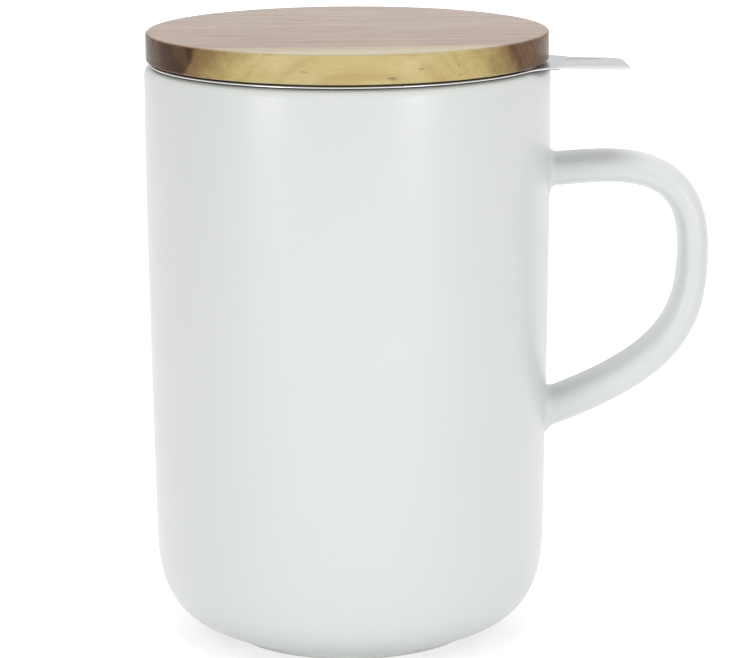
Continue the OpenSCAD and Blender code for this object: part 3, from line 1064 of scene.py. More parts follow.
@dataclass
class Mug:
    """Slip-cast body of the mug: a tall cup with a full lower corner and a foot ring.

    Attributes:
        mouth_r: Outer radius at the lip.
        height: Height of the lip.
        wall: Thickness of the wall.
        floor: Thickness of the floor.
        straight: Height of the straight stretch below the lip.
        draw: How far the wall draws in from there to the waist.
        draw_power: How late it draws in: 1 is evenly.
        waist_z: Height at which the lower corner begins.
        corner_w: Width of the lower corner.
        corner_power: How full the corner is: 2 is an ellipse.
        corner_lift: Height at which the corner would run out flat.
        lip_r: Rounding of the lip.
        foot_r: Outer radius of the foot ring.
        foot_w: Width of the foot ring.
        foot_edge: Rounding of the foot ring.
        bare_z: Height up to which the foot ring is bare.
        recess: Height of the underside inside the foot ring.
        wall_steps: Straight steps down the wall.
        corner_steps: Straight steps round the lower corner.
        lip_steps: Straight steps round each side of the lip.
        sides: Faces round the axis.
    """

    mouth_r: float = 43 * MM
    height: float = 123.6 * MM
    wall: float = 4.2 * MM
    floor: float = 5 * MM
    straight: float = 12 * MM
    draw: float = 1.1 * MM
    draw_power: float = 1.5
    waist_z: float = 24.9 * MM
    corner_w: float = 28.4 * MM
    corner_power: float = 3.2
    corner_lift: float = 0.6 * MM
    lip_r: float = 2 * MM
    foot_r: float = 26.5 * MM
    foot_w: float = 3.6 * MM
    foot_edge: float = 0.6 * MM
    bare_z: float = 0.2 * MM
    recess: float = 1.2 * MM
    wall_steps: int = 24
    corner_steps: int = 40
    lip_steps: int = 10
    sides: int = 224

    def drawn_in(self, z: float) -> float:
        """Returns how far the wall has drawn in at a height."""
        top = self.height - self.straight
        return self.draw * (max(top - z, 0.0) / (top - self.waist_z)) ** self.draw_power

    def wall_r(self, z: float) -> float:
        """Returns the wall's outer radius at a height above the waist."""
        return self.mouth_r - self.drawn_in(z)

    def _wall_line(self, inset: float) -> list[Point]:
        """Draws the wall, from the top of the draw to the waist.

        Args:
            inset: How far it lies inside the outer face.

        Returns:
            Its points, from the top down.
        """
        top, steps = self.height - self.straight, self.wall_steps
        heights = (top + (self.waist_z - top) * i / steps for i in range(steps + 1))
        return [(self.wall_r(z) - inset, z) for z in heights]

    def _corner(self, inset: float, low_z: float, width: float, turn: float) -> list[Point]:
        """Draws the lower corner.

        Args:
            inset: How far it lies inside the outer face.
            low_z: Height at which it would run out flat.
            width: Its width.
            turn: Angle that it ends at, in radians.

        Returns:
            Its points, from the waist down.
        """
        line, steps, power = [], self.corner_steps, 2 / self.corner_power
        for i in range(1, steps + 1):
            t = turn * i / steps
            z = self.waist_z - (self.waist_z - low_z) * math.sin(t) ** power
            across = width * (1 - max(math.cos(t), 0.0) ** power)
            line.append((self.mouth_r - self.drawn_in(z) - inset - across, z))
        return line

    def outline(self) -> list[Point]:
        """Draws half a section, from the middle of the recess round to the floor inside.

        Returns:
            Radius and height of each point.
        """
        floor_z = self.recess + self.floor
        lip_z = self.height - self.lip_r
        inner_r = self.mouth_r - self.wall
        foot = rounded([
            (0, self.recess, 0),
            (self.foot_r - self.foot_w, self.recess, self.foot_edge),
            (self.foot_r - self.foot_w, 0, self.foot_edge),
            (self.foot_r, 0, self.foot_edge),
            (self.foot_r, self.foot_edge * 2, 0),
        ])[:-1]
        corner_in_r = self.mouth_r - self.drawn_in(self.corner_lift) - self.corner_w
        share = (self.foot_r - corner_in_r) / self.corner_w
        foot_turn = math.acos(share ** (self.corner_power / 2))
        outside = (
            arc((self.mouth_r - self.lip_r, lip_z), self.lip_r, 90, 0, self.lip_steps)
            + self._wall_line(0)
            + self._corner(0, self.corner_lift, self.corner_w, foot_turn)
        )
        inside = (
            arc((inner_r + self.lip_r, lip_z), self.lip_r, 90, 180, self.lip_steps)
            + self._wall_line(self.wall)
            + self._corner(self.wall, floor_z, self.corner_w - self.wall, math.pi / 2)
            + [(0, floor_z)]
        )
        return foot + outside[::-1] + inside

    def build(self, lathe: Lathe, glaze: Material, clay: Material) -> None:
        """Turns the body and leaves the foot ring's underside bare.

        Args:
            lathe: What turns round pieces.
            glaze: The glaze.
            clay: The bare clay.
        """
        piece = lathe.turn("mug_shell", self.outline(), glaze, steps=self.sides)
        piece.data.materials.append(clay)
        for face in piece.data.polygons:
            if face.center.z < self.bare_z:
                face.material_index = 1
        seat(piece, "mug", ["mug_body"])


@dataclass
class Station:
    """One place along the handle, in the plane Y = 0.

    Attributes:
        middle: Middle of the strap.
        ahead: Direction along the strap.
        thick: Thickness of the strap.
    """

    middle: Vector
    ahead: Vector
    thick: float


@dataclass
class Handle:
    """Strap handle with an oval section, luted to the mug with a small fillet.

    Attributes:
        mug: The mug that it is luted to.
        drop: Depth of the upper arm's middle below the lip.
        low_z: Height at which the lower arm's middle meets the wall.
        out: Distance from the mug's side to the outside of the bow.
        bow_drop: Depth of the outermost point below the upper arm's root.
        low_slope: Slope of the lower arm at the wall, from level.
        width: Width of the strap.
        top_t: Thickness at the upper arm's root.
        bow_t: Thickness at the outermost point.
        low_t: Thickness at the lower arm's root.
        fillet: Radius of the fillet at the wall.
        root_inset: How far the arms' middles start inside the wall's outer face.
        stub: How much further both ends of the strap reach into the wall.
        pulls: How far the two curves' handles reach: along the upper arm, up and down
            from the outermost point, and along the lower arm.
        power: How full the section is: 2 is an ellipse.
        rings: Rings of points along each arm.
        crowding: How evenly they are spread: at 1 they don't crowd near the wall.
        sides: Points in each ring.
    """

    mug: Mug
    drop: float = 23 * MM
    low_z: float = 48.3 * MM
    out: float = 33.9 * MM
    bow_drop: float = 17.2 * MM
    low_slope: float = math.radians(20)
    width: float = 13.5 * MM
    top_t: float = 6.8 * MM
    bow_t: float = 6.5 * MM
    low_t: float = 7.5 * MM
    fillet: float = 1.8 * MM
    root_inset: float = 1 * MM
    stub: float = 3 * MM
    pulls: tuple[float, float, float, float] = (10.3 * MM, 23 * MM, 15.9 * MM, 29 * MM)
    power: float = 2.5
    rings: int = 84
    crowding: float = 0.15
    sides: int = 48

    def _curves(self) -> tuple[list[Vector], list[Vector]]:
        """Sets out the two arms.

        Returns:
            The control points of the upper and of the lower arm, in the plane Y = 0.
        """
        root_x = self.mug.mouth_r - self.root_inset
        top_z = self.mug.height - self.drop
        bow = Vector((self.mug.mouth_r + self.out - self.bow_t / 2, top_z - self.bow_drop))
        along, rise, fall, low = self.pulls
        slope = Vector((math.cos(self.low_slope), math.sin(self.low_slope)))
        upper = [Vector((root_x, top_z)), Vector((root_x + along, top_z))]
        lower = [Vector((root_x, self.low_z)) + low * slope, Vector((root_x, self.low_z))]
        return (
            upper + [bow + Vector((0, rise)), bow],
            [bow, bow - Vector((0, fall))] + lower,
        )

    def _station(self, curve: Sequence[Vector], t: float, thick: float) -> Station:
        """Finds a place along an arm.

        Args:
            curve: The arm's four control points.
            t: The place's share of the arm, from 0 to 1.
            thick: Thickness of the strap there.

        Returns:
            The place.
        """
        s = 1 - t
        a, b, c, d = curve
        middle = s**3 * a + 3 * s * s * t * b + 3 * s * t * t * c + t**3 * d
        ahead = s * s * (b - a) + 2 * s * t * (c - b) + t * t * (d - c)
        return Station(middle, ahead.normalized(), thick)

    def stations(self) -> list[Station]:
        """Lists the places along the strap, closer together near the wall.

        Returns:
            The places, from the end inside the wall above to the one below.
        """
        def eased(u: float) -> float:
            """Crowds shares towards 0."""
            return u * (self.crowding + (1 - self.crowding) * u)

        upper, lower = self._curves()
        shares = [i / self.rings for i in range(self.rings + 1)]
        places = []
        for t in map(eased, shares):
            thick = self.top_t + (self.bow_t - self.top_t) * smooth(t)
            places.append(self._station(upper, t, thick))
        for t in (1 - eased(1 - u) for u in shares[1:]):
            thick = self.bow_t + (self.low_t - self.bow_t) * smooth(t)
            places.append(self._station(lower, t, thick))
        first, last = places[0], places[-1]
        start = Station(first.middle - self.stub * first.ahead, first.ahead, first.thick)
        end = Station(last.middle + self.stub * last.ahead, last.ahead, last.thick)
        return [start, *places, end]

    def _growth(self, gap: float) -> float:
        """Returns how far the fillet swells the strap at a gap from the wall."""
        k = self.fillet - min(max(gap, 0.0), self.fillet)
        return self.fillet - math.sqrt(self.fillet**2 - k * k)

    def _ring(self, place: Station) -> list[Vector]:
        """Draws the strap's skin round one place.

        Args:
            place: The place.

        Returns:
            The points round it.
        """
        half_t, half_w = place.thick / 2, self.width / 2
        out = Vector((-place.ahead.y, place.ahead.x))
        e = 2 / self.power
        ring = []
        for k in range(self.sides):
            turn = math.tau * k / self.sides
            c, s = math.cos(turn), math.sin(turn)
            deep = half_t * math.copysign(abs(c) ** e, c)
            wide = half_w * math.copysign(abs(s) ** e, s)
            normal = Vector((
                math.copysign(abs(c) ** (2 - e), c) / half_t,
                math.copysign(abs(s) ** (2 - e), s) / half_w,
            )).normalized()
            base = place.middle + deep * out
            gap = math.hypot(base.x, wide) - self.mug.wall_r(base.y)
            grow = self._growth(gap)
            point = base + grow * normal.x * out
            ring.append(Vector((point.x, wide + grow * normal.y, point.y)))
        return ring

    def build(self, glaze: Material) -> None:
        """Sweeps the strap.

        Args:
            glaze: The glaze.
        """
        mesh = skin("mug_strap", [self._ring(place) for place in self.stations()], looped=False)
        mesh.materials.append(glaze)
        piece = settle(add_piece("mug_strap", mesh))
        seat(piece, "mug", ["mug_handle"])


# ---- The infuser ----


@dataclass
class Tab:
    """Finger tab of the infuser, with its edge turned down.

    Left and right are as seen from the mug's axis.

    Attributes:
        turn: Angle from X, round Z.
        out: How far it stands out from the flange.
        root_w: Width near the root, where the flares end.
        tip_w: Width at the tip.
        left_r: Radius of the tip's left corner.
        right_r: Radius of the tip's right corner.
        slant: How far the tip's end falls back from right to left, in degrees.
        flare_r: Radius of the hollow flares into the flange.
        turned_h: Depth of the turned-down edge.
        turned_r: Distances from the axis at which the edge begins to turn down and is
            fully down.
        turned_bend: Outer radius of the turned-down edge's bend.
        turned_inner: Size of the bend's inner corner.
        turned_steps: Straight steps round the bend, and as many round the edge's end.
        flare_steps: Straight steps round a flare.
        side_steps: Straight steps along a side.
        corner_steps: Straight steps round a corner of the tip.
        tip_steps: Straight steps along each half of the tip's end.
        rim_steps: Straight steps round the rest of the flange.
    """

    turn: float = math.radians(-6)
    out: float = 17 * MM
    root_w: float = 15.4 * MM
    tip_w: float = 14.8 * MM
    left_r: float = 3.8 * MM
    right_r: float = 1 * MM
    slant: float = 9
    flare_r: float = 15 * MM
    turned_h: float = 0.9 * MM
    turned_r: Point = (46.1 * MM, 46.9 * MM)
    turned_bend: float = 0.5 * MM
    turned_inner: float = 0.12 * MM
    turned_steps: int = 4
    flare_steps: int = 20
    side_steps: int = 3
    corner_steps: int = 10
    tip_steps: int = 4
    rim_steps: int = 220

    def _side(self, ring_r: float, corner_r: float, slant: float) -> list[Point]:
        """Draws one half of the outline, from the flange to the middle of the tip.

        Args:
            ring_r: The flange's radius.
            corner_r: Radius of the tip's corner on this side.
            slant: How far the tip's end turns away from square, in degrees.

        Returns:
            Its points, with the tab along X and this side at positive Y.
        """
        reach = ring_r + self.out
        flare_x = ring_r + self.flare_r / 2
        taper = math.atan((self.root_w - self.tip_w) / 2 / (reach - flare_x))
        along = Vector((math.cos(taper), -math.sin(taper)))
        side = Vector((math.sin(taper), math.cos(taper)))
        start = Vector((0, self.root_w / 2 + flare_x * math.tan(taper)))
        # the flare touches both the flange's edge and the tab's side
        base = start + self.flare_r * side
        down = along.dot(base)
        step = math.sqrt(down * down - base.dot(base) + (ring_r + self.flare_r) ** 2) - down
        flare = base + step * along
        lean = math.degrees(taper)
        meet = 180 + math.degrees(math.atan2(flare.y, flare.x))
        # the corner touches the side and the tip's end
        base = start - corner_r * side
        end = Vector((math.cos(math.radians(slant)), math.sin(math.radians(slant))))
        corner = base + (reach * end.x - corner_r - base.dot(end)) / along.dot(end) * along
        hollow = arc(flare.to_tuple(), self.flare_r, meet, 270 - lean, self.flare_steps)
        bow = arc(corner.to_tuple(), corner_r, 90 - lean, slant, self.corner_steps)
        edge = between(hollow[-1], bow[0], self.side_steps)
        return hollow + edge + bow + between(bow[-1], (reach, 0.0), self.tip_steps)

    def outline(self, ring_r: float) -> list[Point]:
        """Draws the flange and the tab as one closed outline.

        Args:
            ring_r: The flange's radius.

        Returns:
            Its points, anticlockwise from the middle of the tip.
        """
        left = self._side(ring_r, self.left_r, self.slant)
        right = [(x, -y) for x, y in self._side(ring_r, self.right_r, -self.slant)]
        meet = math.degrees(math.atan2(left[0][1], left[0][0]))
        rim = arc((0, 0), ring_r, meet, 360 - meet, self.rim_steps)
        tip = (ring_r + self.out, 0.0)
        return [tip] + left[::-1] + rim[1:-1] + right


@dataclass
class Infuser:
    """Lift-out basket: a pressed rim with its tab, a perforated sleeve and a base cup.

    Attributes:
        mug: The mug that it hangs in.
        tab: Its finger tab.
        sheet: Thickness of the steel.
        flange_back: How far the flange's edge lies inside the mug's side.
        edge_in: How far inside its outline the flange's flat face ends.
        crease: Angle past which the rim's edges stay sharp, in degrees.
        collar_gap: Gap between collar and mug.
        collar_h: Height of the collar.
        bend_r: Radius of the bends at the flange and at the base.
        sleeve_r: Outer radius of the sleeve.
        depth: Depth of the basket below the lip.
        lap: Height of the laps of sleeve with skirt and with base.
        shoulder_pitch: Fall of the shoulder for each step inwards.
        shoulder_round: Rounding of the shoulder.
        pitch: Distance between holes.
        hole: Diameter of a hole.
        drill_h: Height of the drill for the base's holes.
        margin: Width left without holes beside a lap or a bend.
        seam_w: Width of the sleeve's lapped seam.
        seam_edge: Rounding of the seam's edges.
        seam_steps: Straight steps across the seam.
        spot: Diameter of a weld spot.
        spot_flatness: Height of a weld spot, as a share of its diameter.
        lap_spots: Weld spots round a lap, with the one that the seam takes.
        seam_spots: Weld spots down the seam.
    """

    mug: Mug
    tab: Tab = field(default_factory=Tab)
    sheet: float = 0.5 * MM
    flange_back: float = 1 * MM
    edge_in: float = 0.85 * MM
    crease: float = 50
    collar_gap: float = 0.6 * MM
    collar_h: float = 12 * MM
    bend_r: float = 1.2 * MM
    sleeve_r: float = 33.5 * MM
    depth: float = 82 * MM
    lap: float = 5 * MM
    shoulder_pitch: float = 0.9
    shoulder_round: float = 1.2 * MM
    pitch: float = 2.2 * MM
    hole: float = 1.15 * MM
    drill_h: float = 2 * MM
    margin: float = 3 * MM
    seam_w: float = 5 * MM
    seam_edge: float = 0.12 * MM
    seam_steps: int = 12
    spot: float = 1.5 * MM
    spot_flatness: float = 0.1
    lap_spots: int = 28
    seam_spots: int = 13

    @property
    def flange_r(self) -> float:
        """Radius of the flange."""
        return self.mug.mouth_r - self.flange_back

    @property
    def top_z(self) -> float:
        """Height of the flange's upper face."""
        return self.mug.height + self.sheet

    @property
    def collar_r(self) -> float:
        """Outer radius of the collar."""
        return self.mug.mouth_r - self.mug.wall - self.collar_gap

    @property
    def inner_r(self) -> float:
        """Inner radius of the sleeve."""
        return self.sleeve_r - self.sheet

    @property
    def skirt_z(self) -> float:
        """Height at which the shoulder ends and the skirt begins."""
        return self.mug.height - self.collar_h - self.shoulder_pitch * (self.collar_r - self.inner_r)

    @property
    def base_z(self) -> float:
        """Height of the basket's underside."""
        return self.mug.height - self.depth

    @property
    def seam_turn(self) -> float:
        """Angle of the seam round Z, opposite the tab."""
        return self.tab.turn + math.pi

    def _edge(self, share: float) -> list[Point]:
        """Draws the sheet's edge, as depths in from the outline and down from the top.

        Args:
            share: 0 for the flange's plain rounded edge, 1 for the tab's turned-down one.

        Returns:
            The points, from the upper face round to the lower one.
        """
        t, half, back = self.sheet, self.sheet / 2, self.edge_in
        bend, inner, deep = self.tab.turned_bend, self.tab.turned_inner, self.tab.turned_h
        steps = self.tab.turned_steps
        under = [(t, -t - inner), (t + inner, -t), (back, -t)]
        turned = [(back, 0.0)] + arc((bend, -bend), bend, 90, 180, steps)
        turned += arc((half, half - deep), half, 180, 360, steps) + under
        # the plain edge has as many points as the turned one
        count = len(under)
        plain = [(back, 0.0)] + arc((half, -half), half, 90, 270, 2 * steps + 1)
        plain += [(half + (back - half) * k / count, -t) for k in range(1, count + 1)]
        return [
            (a[0] + (b[0] - a[0]) * share, a[1] + (b[1] - a[1]) * share)
            for a, b in zip(plain, turned, strict=True)
        ]

    def _rim_section(self) -> list[Point]:
        """Draws the rim's section inside the flat of the flange.

        Returns:
            Radius and height of each point, from under the flange round to its top.
        """
        z = self.mug.height
        start = (self.collar_r + self.bend_r, z)
        under = [start] + rounded([
            (*start, 0),
            (self.collar_r, z, self.bend_r),
            (self.collar_r, z - self.collar_h, self.shoulder_round),
            (self.inner_r, self.skirt_z, self.shoulder_round),
            (self.inner_r, self.skirt_z - self.lap, 0),
        ])[1:]
        return under + beside(under, -self.sheet)[::-1]

    def build_rim(self, steel: Material) -> None:
        """Presses the flange, the tab, the collar and the skirt from one sheet.

        Args:
            steel: The steel.
        """
        outline = [Vector(p) for p in self.tab.outline(self.flange_r)]
        turn = Matrix.Rotation(self.tab.turn, 2)
        count = len(outline)
        section = self._rim_section()
        turned_from, turned_to = self.tab.turned_r
        columns = []
        for i, point in enumerate(outline):
            step = outline[(i + 1) % count] - outline[i - 1]
            normal = Vector((step.y, -step.x)).normalized()
            share = smooth((point.length - turned_from) / (turned_to - turned_from))
            column = []
            for inset, drop in self._edge(share):
                place = turn @ (point - normal * inset)
                column.append(Vector((place.x, place.y, self.top_z + drop)))
            way = turn @ point.normalized()
            column += [Vector((way.x * r, way.y * r, z)) for r, z in section]
            columns.append(column)
        rows = [list(row) for row in zip(*columns, strict=True)]
        mesh = skin("infuser_flange", rows, looped=True)
        mesh.materials.append(steel)
        piece = settle(add_piece("infuser_flange", mesh), self.crease)
        seat(piece, "infuser", ["infuser_rim"])

    def build_sleeve(self, steel: Material) -> None:
        """Rolls the perforated sleeve and closes it with a lapped strip.

        Args:
            steel: The steel.
        """
        low, high = self.base_z + self.bend_r, self.skirt_z
        middle_r = self.sleeve_r - self.sheet / 2
        columns = round(math.tau * middle_r / self.pitch)
        rows = round((high - low) / (self.pitch * ROW_STEP))
        cell_h = (high - low) / rows
        seam = math.ceil(self.seam_w / self.pitch) + 1
        # every second row is shifted, so their middle lies half that shift further
        seam_middle = (seam - 1) / 2 + STAGGER / 2
        sizes = {
            "Columns": columns,
            "Rows": rows,
            "Plain_Rows": math.ceil((self.lap + self.margin) / cell_h),
            "Seam_Columns": seam,
            "Cell_Width": math.tau * middle_r / columns,
            "Cell_Height": cell_h,
            "Hole": self.hole,
            "Radius": middle_r,
            "Low": low,
            "Turn": self.seam_turn - math.tau * seam_middle / columns,
        }
        start = bpy.data.meshes.new("infuser_wall")
        piece = PerforatedSheet().run("infuser_wall", start, steel, **sizes)
        wall = piece.modifiers.new("sheet", "SOLIDIFY")
        wall.thickness = self.sheet
        wall.offset = 0.0
        settle(piece)
        seat(piece, "infuser", ["infuser_sleeve"])
        self._build_seam(steel, low, high)

    def _build_seam(self, steel: Material, low: float, high: float) -> None:
        """Lays the overlapping end of the rolled sheet over the seam.

        Args:
            steel: The steel.
            low: Height of the sleeve's lower end.
            high: Height of its upper end.
        """
        half = self.seam_w / self.sleeve_r / 2
        rows = []
        for i in range(self.seam_steps + 1):
            way = self.seam_turn - half + 2 * half * i / self.seam_steps
            corners = [(self.sleeve_r, low), (self.sleeve_r + self.sheet, low)]
            corners += [(r, high) for r, _ in corners[::-1]]
            rows.append([Vector((r * math.cos(way), r * math.sin(way), z)) for r, z in corners])
        mesh = skin("infuser_seam", rows, looped=False)
        mesh.materials.append(steel)
        piece = add_piece("infuser_seam", mesh)
        bevel = piece.modifiers.new("edge", "BEVEL")
        bevel.width = self.seam_edge
        bevel.segments = 2
        seat(settle(piece), "infuser")

    def build_base(self, lathe: Lathe, steel: Material) -> None:
        """Turns the base cup and drills its floor.

        Args:
            lathe: What turns round pieces.
            steel: The steel.
        """
        under = rounded([
            (0, self.base_z, 0),
            (self.inner_r, self.base_z, self.bend_r),
            (self.inner_r, self.base_z + self.bend_r + self.lap, 0),
        ])
        cup = lathe.turn("infuser_cup", under + beside(under, self.sheet)[::-1], steel)
        mesh = cup.data
        bpy.data.objects.remove(cup)
        reach = self.inner_r - self.bend_r - self.margin
        sizes = {
            "Count": 2 * math.ceil(reach / self.pitch / ROW_STEP) + 1,
            "Pitch": self.pitch,
            "Hole": self.hole,
            "Reach": reach,
            "Level": self.base_z + self.sheet / 2,
            "Depth": self.drill_h,
        }
        piece = settle(Drilling().run("infuser_cup", mesh, steel, **sizes))
        seat(piece, "infuser", ["infuser_base"])

    def build_welds(self, steel: Material) -> None:
        """Sets the rows of weld spots round both laps and down the seam.

        Args:
            steel: The steel.
        """
        laps = (self.skirt_z - self.lap / 2, self.base_z + self.bend_r + self.lap / 2)
        points = []
        for z in laps:
            for i in range(1, self.lap_spots):
                way = self.seam_turn + math.tau * i / self.lap_spots
                points.append((self.sleeve_r * math.cos(way), self.sleeve_r * math.sin(way), z))
        out = self.sleeve_r + self.sheet
        x, y = out * math.cos(self.seam_turn), out * math.sin(self.seam_turn)
        last = self.seam_spots - 1
        points += [(x, y, laps[0] + (laps[1] - laps[0]) * i / last) for i in range(last + 1)]
        mesh = bpy.data.meshes.new("infuser_welds")
        mesh.from_pydata(points, [], [])
        sizes = {"Spot": self.spot, "Flatness": self.spot_flatness}
        piece = settle(WeldSpots().run("infuser_welds", mesh, steel, **sizes))
        seat(piece, "infuser")


# ---- The lid ----


@dataclass
class Lid:
    """Wooden disc and plug, turned in one, with a silicone seal in the plug's groove.

    Attributes:
        infuser: The infuser that it closes.
        back: How far the disc's side lies inside the mug's.
        thick: Thickness of the disc.
        top_round: Rounding of its upper edge.
        low_round: Rounding of its lower edge and of the plug's.
        plug_h: Height of the plug.
        plug_gap: Gap between plug and collar.
        plug_round: Rounding of the plug below the groove.
        groove: Depth of the groove.
        groove_h: Height of the groove.
        lip_t: Thickness of the seal's lip.
        lip_back: How far the lip's edge lies inside the disc's.
        lip_round: Rounding of the lip's edge.
        seal_gap: Gap between the seal's ribs and the collar.
        rib: How far the ribs stand out.
        rib_space: Smooth stretch above and below each rib, as a share of half its height.
        bend_gap: Gap between the seal and the flange's bend.
        round_steps: Straight steps in each rounding.
        sides: Faces round the axis.
    """

    infuser: Infuser
    back: float = 0.4 * MM
    thick: float = 6.1 * MM
    top_round: float = 0.6 * MM
    low_round: float = 0.5 * MM
    plug_h: float = 8 * MM
    plug_gap: float = 1.5 * MM
    plug_round: float = 0.3 * MM
    groove: float = 1.2 * MM
    groove_h: float = 5.6 * MM
    lip_t: float = 0.4 * MM
    lip_back: float = 2 * MM
    lip_round: float = 0.12 * MM
    seal_gap: float = 0.3 * MM
    rib: float = 0.6 * MM
    rib_space: float = 0.1
    bend_gap: float = 0.2 * MM
    round_steps: int = 8
    sides: int = 224

    @property
    def radius(self) -> float:
        """Radius of the disc."""
        return self.infuser.mug.mouth_r - self.back

    @property
    def low_z(self) -> float:
        """Height of the disc's underside."""
        return self.infuser.top_z + self.lip_t

    @property
    def bore_r(self) -> float:
        """Radius inside the infuser's collar."""
        return self.infuser.collar_r - self.infuser.sheet

    @property
    def groove_r(self) -> float:
        """Radius at the bottom of the groove."""
        return self.bore_r - self.plug_gap - self.groove

    def build_disc(self, lathe: Lathe, wood: Material) -> None:
        """Turns the disc and the plug.

        Args:
            lathe: What turns round pieces.
            wood: The wood.
        """
        z, plug_r = self.low_z, self.bore_r - self.plug_gap
        outline = rounded([
            (0, z + self.thick, 0),
            (self.radius, z + self.thick, self.top_round),
            (self.radius, z, self.low_round),
            (self.groove_r, z, 0),
            (self.groove_r, z - self.groove_h, 0),
            (plug_r, z - self.groove_h, self.plug_round),
            (plug_r, z - self.plug_h, self.low_round),
            (0, z - self.plug_h, 0),
        ], self.round_steps)
        piece = lathe.turn("lid_board", outline, wood, steps=self.sides)
        seat(piece, "lid", ["lid_disc"])

    def build_seal(self, lathe: Lathe, silicone: Material) -> None:
        """Turns the seal: a thin lip over the flange and a band with two ribs.

        Args:
            lathe: What turns round pieces.
            silicone: The silicone.
        """
        flange_z, bend_r, sheet = self.infuser.top_z, self.infuser.bend_r, self.infuser.sheet
        seal_r = self.bore_r - self.seal_gap
        bend = (self.infuser.collar_r + bend_r, self.infuser.mug.height - bend_r)
        low_z = self.low_z - self.groove_h
        # each of the two ribs is two halves high, with a smooth stretch above and below it
        space = 1 + self.rib_space
        half = (bend[1] - self.rib - low_z) / (4 * space)
        over = [
            (bend[0] + x * (bend[0] - seal_r), bend[1] + z * (bend_r + sheet + self.bend_gap))
            for x, z in arc((0, 0), 1, 90, 180)
        ]
        ribs = [
            (seal_r - self.rib + self.rib * x, low_z + (middle + z) * half)
            for middle in (3 * space, space)
            for x, z in arc((0, 0), 1, 90, -90)
        ]
        lip = rounded([
            (self.groove_r, self.low_z, 0),
            (self.radius - self.lip_back, self.low_z, self.lip_round),
            (self.radius - self.lip_back, flange_z, self.lip_round),
            (bend[0] + bend_r / 2, flange_z, 0),
        ])
        band = [(seal_r - self.rib, low_z), (self.groove_r, low_z)]
        outline = lip + over + ribs + band
        seat(lathe.turn("lid_seal", outline, silicone, ring=True), "lid", ["lid_gasket"])


# ---- The studio ----


@dataclass
class Softbox:
    """A soft lamp that faces the mug.

    Attributes:
        azimuth: Angle round the mug from the front, in degrees, with the right positive.
        distance: Distance from the axis.
        height: Height of its middle.
        width: Its width.
        tall: Its height from edge to edge.
        watts: Its power.
        mirrored: Whether it shows in glossy surfaces.
        aim_z: Height of the place on the axis that it faces.
    """

    azimuth: float
    distance: float
    height: float
    width: float
    tall: float
    watts: float
    mirrored: bool = True
    aim_z: float = 65 * MM

    def hang(self, name: str) -> None:
        """Adds the lamp.

        Args:
            name: Its name.
        """
        lamp = bpy.data.lights.new(name, "AREA")
        lamp.shape = "RECTANGLE"
        lamp.size = self.width
        lamp.size_y = self.tall
        lamp.energy = self.watts
        holder = bpy.data.objects.new(name, lamp)
        way = math.radians(self.azimuth)
        place = Vector((math.sin(way), -math.cos(way), 0)) * self.distance
        place.z = self.height
        holder.location = place
        aim = Vector((0, 0, self.aim_z)) - place
        holder.rotation_euler = aim.to_track_quat("-Z", "Y").to_euler()
        holder.visible_glossy = self.mirrored
        holder.visible_camera = False
        bpy.context.scene.collection.objects.link(holder)


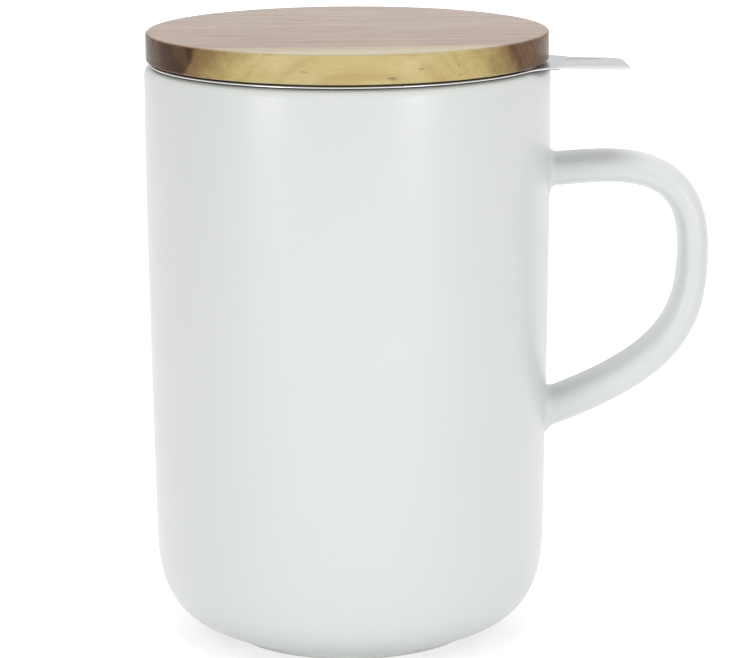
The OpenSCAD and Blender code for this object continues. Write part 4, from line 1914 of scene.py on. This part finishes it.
@dataclass
class Studio:
    """Pale floor, white surroundings and plain soft lamps.

    Attributes:
        floor_r: Radius of the floor.
        floor_sides: Its sides.
        floor_colour: Its colour.
        floor_glow: Light added to it where it is looked at, where 1 is white.
        surround: How strongly the surroundings light the mug.
        lamps: The lamps, by name.
    """

    floor_r: float = 1.35
    floor_sides: int = 96
    floor_colour: Rgba = linear(232, 232, 232)
    floor_glow: float = 0.55
    surround: float = 0.39
    lamps: Mapping[str, Softbox] = field(
        default_factory=lambda: {
            "left": Softbox(-44, 1.2, 0.16, 0.30, 0.30, 1.62),
            "right": Softbox(38, 1.2, 0.16, 0.20, 0.30, 1.36),
            "left_low": Softbox(-45, 1.4, 0.10, 0.8, 0.3, 1.25, mirrored=False),
            "right_low": Softbox(45, 1.4, 0.10, 0.8, 0.3, 1.68, mirrored=False),
            "right_fill": Softbox(58, 1.4, 0.40, 0.7, 0.9, 0.90, mirrored=False),
            "left_side": Softbox(-105, 1.2, 0.40, 0.9, 0.9, 1.3, mirrored=False),
            "right_side": Softbox(105, 1.2, 0.40, 0.9, 0.9, 1.1, mirrored=False),
            "back": Softbox(180, 1.4, 0.40, 1.0, 0.9, 5.6, mirrored=False),
            "top": Softbox(0, 0.05, 1.3, 0.5, 0.5, 7.0, mirrored=False),
            "apron": Softbox(0, 0.30, 0.02, 0.5, 0.04, 0.165, mirrored=False),
        }
    )

    def build(self) -> None:
        """Sets up the floor, the surroundings, the lamps and the plain colour view."""
        bpy.context.scene.view_settings.view_transform = "Standard"
        self._floor()
        self._surroundings()
        for name, lamp in self.lamps.items():
            lamp.hang(name)

    def _seen(self, graph: Graph) -> Socket:
        """Tells what is looked at, straight, mirrored or through glass, from what gives light.

        Args:
            graph: The tree of the surface or of the surroundings.

        Returns:
            1 where it is looked at, and 0 where it gives light.
        """
        path = graph.add("ShaderNodeLightPath").outputs
        rays = ("Is Camera Ray", "Is Glossy Ray", "Is Transmission Ray")
        share = graph.total(*(path[ray] for ray in rays))
        return graph.math("MINIMUM", share, 1.0)

    def _floor(self) -> None:
        """Lays the floor, which shows white outside the mug's shadow."""
        sides = self.floor_sides
        circle = arc((0, 0), self.floor_r, 0, 360 - 360 / sides, sides - 1)
        mesh = bpy.data.meshes.new("floor")
        mesh.from_pydata([(x, y, 0) for x, y in circle], [], [tuple(range(sides))])
        material = bpy.data.materials.new("floor")
        material.use_nodes = True
        graph = Graph(material.node_tree)
        graph.tree.nodes.clear()
        matt = graph.add("ShaderNodeBsdfDiffuse", {"Color": self.floor_colour})
        glow = graph.product(self._seen(graph), self.floor_glow)
        white = graph.add("ShaderNodeEmission", {"Strength": glow})
        both = graph.add("ShaderNodeAddShader", {0: matt.outputs[0], 1: white.outputs[0]})
        graph.add("ShaderNodeOutputMaterial", {"Surface": both.outputs[0]})
        mesh.materials.append(material)
        add_piece("floor", mesh)

    def _surroundings(self) -> None:
        """Lights from all round, and shows as plain white."""
        world = bpy.data.worlds.new("surroundings")
        bpy.context.scene.world = world
        world.use_nodes = True
        graph = Graph(world.node_tree)
        graph.tree.nodes.clear()
        strength = graph.ramp(self._seen(graph), 0.0, 1.0, (self.surround, 1.0))
        wires = {"Color": (1.0, 1.0, 1.0, 1.0), "Strength": strength}
        light = graph.add("ShaderNodeBackground", wires)
        graph.add("ShaderNodeOutputWorld", {"Surface": light.outputs[0]})


@dataclass
class View:
    """The camera: its place, its turn and its lens.

    Attributes:
        place: Its place.
        pitch: How far it looks down, in radians.
        yaw: How far it looks to the right, in radians.
        roll: How far its top leans to the left, in radians.
        lens: Focal length, in millimetres.
        sensor: Width of the sensor, in millimetres.
        nearest: Distance from which it sees.
    """

    place: tuple[float, float, float] = (0, -0.725, 0.2192489)
    pitch: float = 0.2085
    yaw: float = 0.0049
    roll: float = -0.0052
    lens: float = 169.7
    sensor: float = 36.0
    nearest: float = 0.05

    def build(self) -> None:
        """Adds the camera."""
        camera = bpy.data.cameras.new("view")
        camera.sensor_fit = "HORIZONTAL"
        camera.sensor_width = self.sensor
        camera.lens = self.lens
        camera.clip_start = self.nearest
        ahead = Vector((
            math.sin(self.yaw) * math.cos(self.pitch),
            math.cos(self.yaw) * math.cos(self.pitch),
            -math.sin(self.pitch),
        ))
        right = Vector((math.cos(self.yaw), -math.sin(self.yaw), 0))
        up = right.cross(ahead)
        c, s = math.cos(self.roll), math.sin(self.roll)
        across, above = c * right + s * up, c * up - s * right
        holder = bpy.data.objects.new("view", camera)
        turn = Matrix((across, above, -ahead)).transposed().to_4x4()
        holder.matrix_world = Matrix.Translation(self.place) @ turn
        bpy.context.scene.collection.objects.link(holder)
        bpy.context.scene.camera = holder


def corners(box: Any) -> list[list[float]]:
    """Turns a box's two corners into plain lists of numbers."""
    return [[float(value) for value in corner] for corner in box]


def main() -> None:
    """Loads the frame and builds everything round it, in order."""
    logging.basicConfig(level=logging.INFO, format="%(message)s")
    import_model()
    View().build()
    Studio().build()

    lathe = Lathe()
    glaze = Glaze().material()
    mug = Mug()
    mug.build(lathe, glaze, Bisque().material())
    Handle(mug).build(glaze)

    infuser = Infuser(mug)
    infuser.build_rim(Steel(Brushing.ROUND).material())
    upright = Steel(Brushing.UPRIGHT).material()
    infuser.build_sleeve(upright)
    infuser.build_base(lathe, Steel(Brushing.LEVEL).material())
    infuser.build_welds(upright)

    lid = Lid(infuser)
    lid.build_disc(lathe, Acacia().material())
    lid.build_seal(lathe, Silicone().material())


if __name__ == "__main__":
    main()
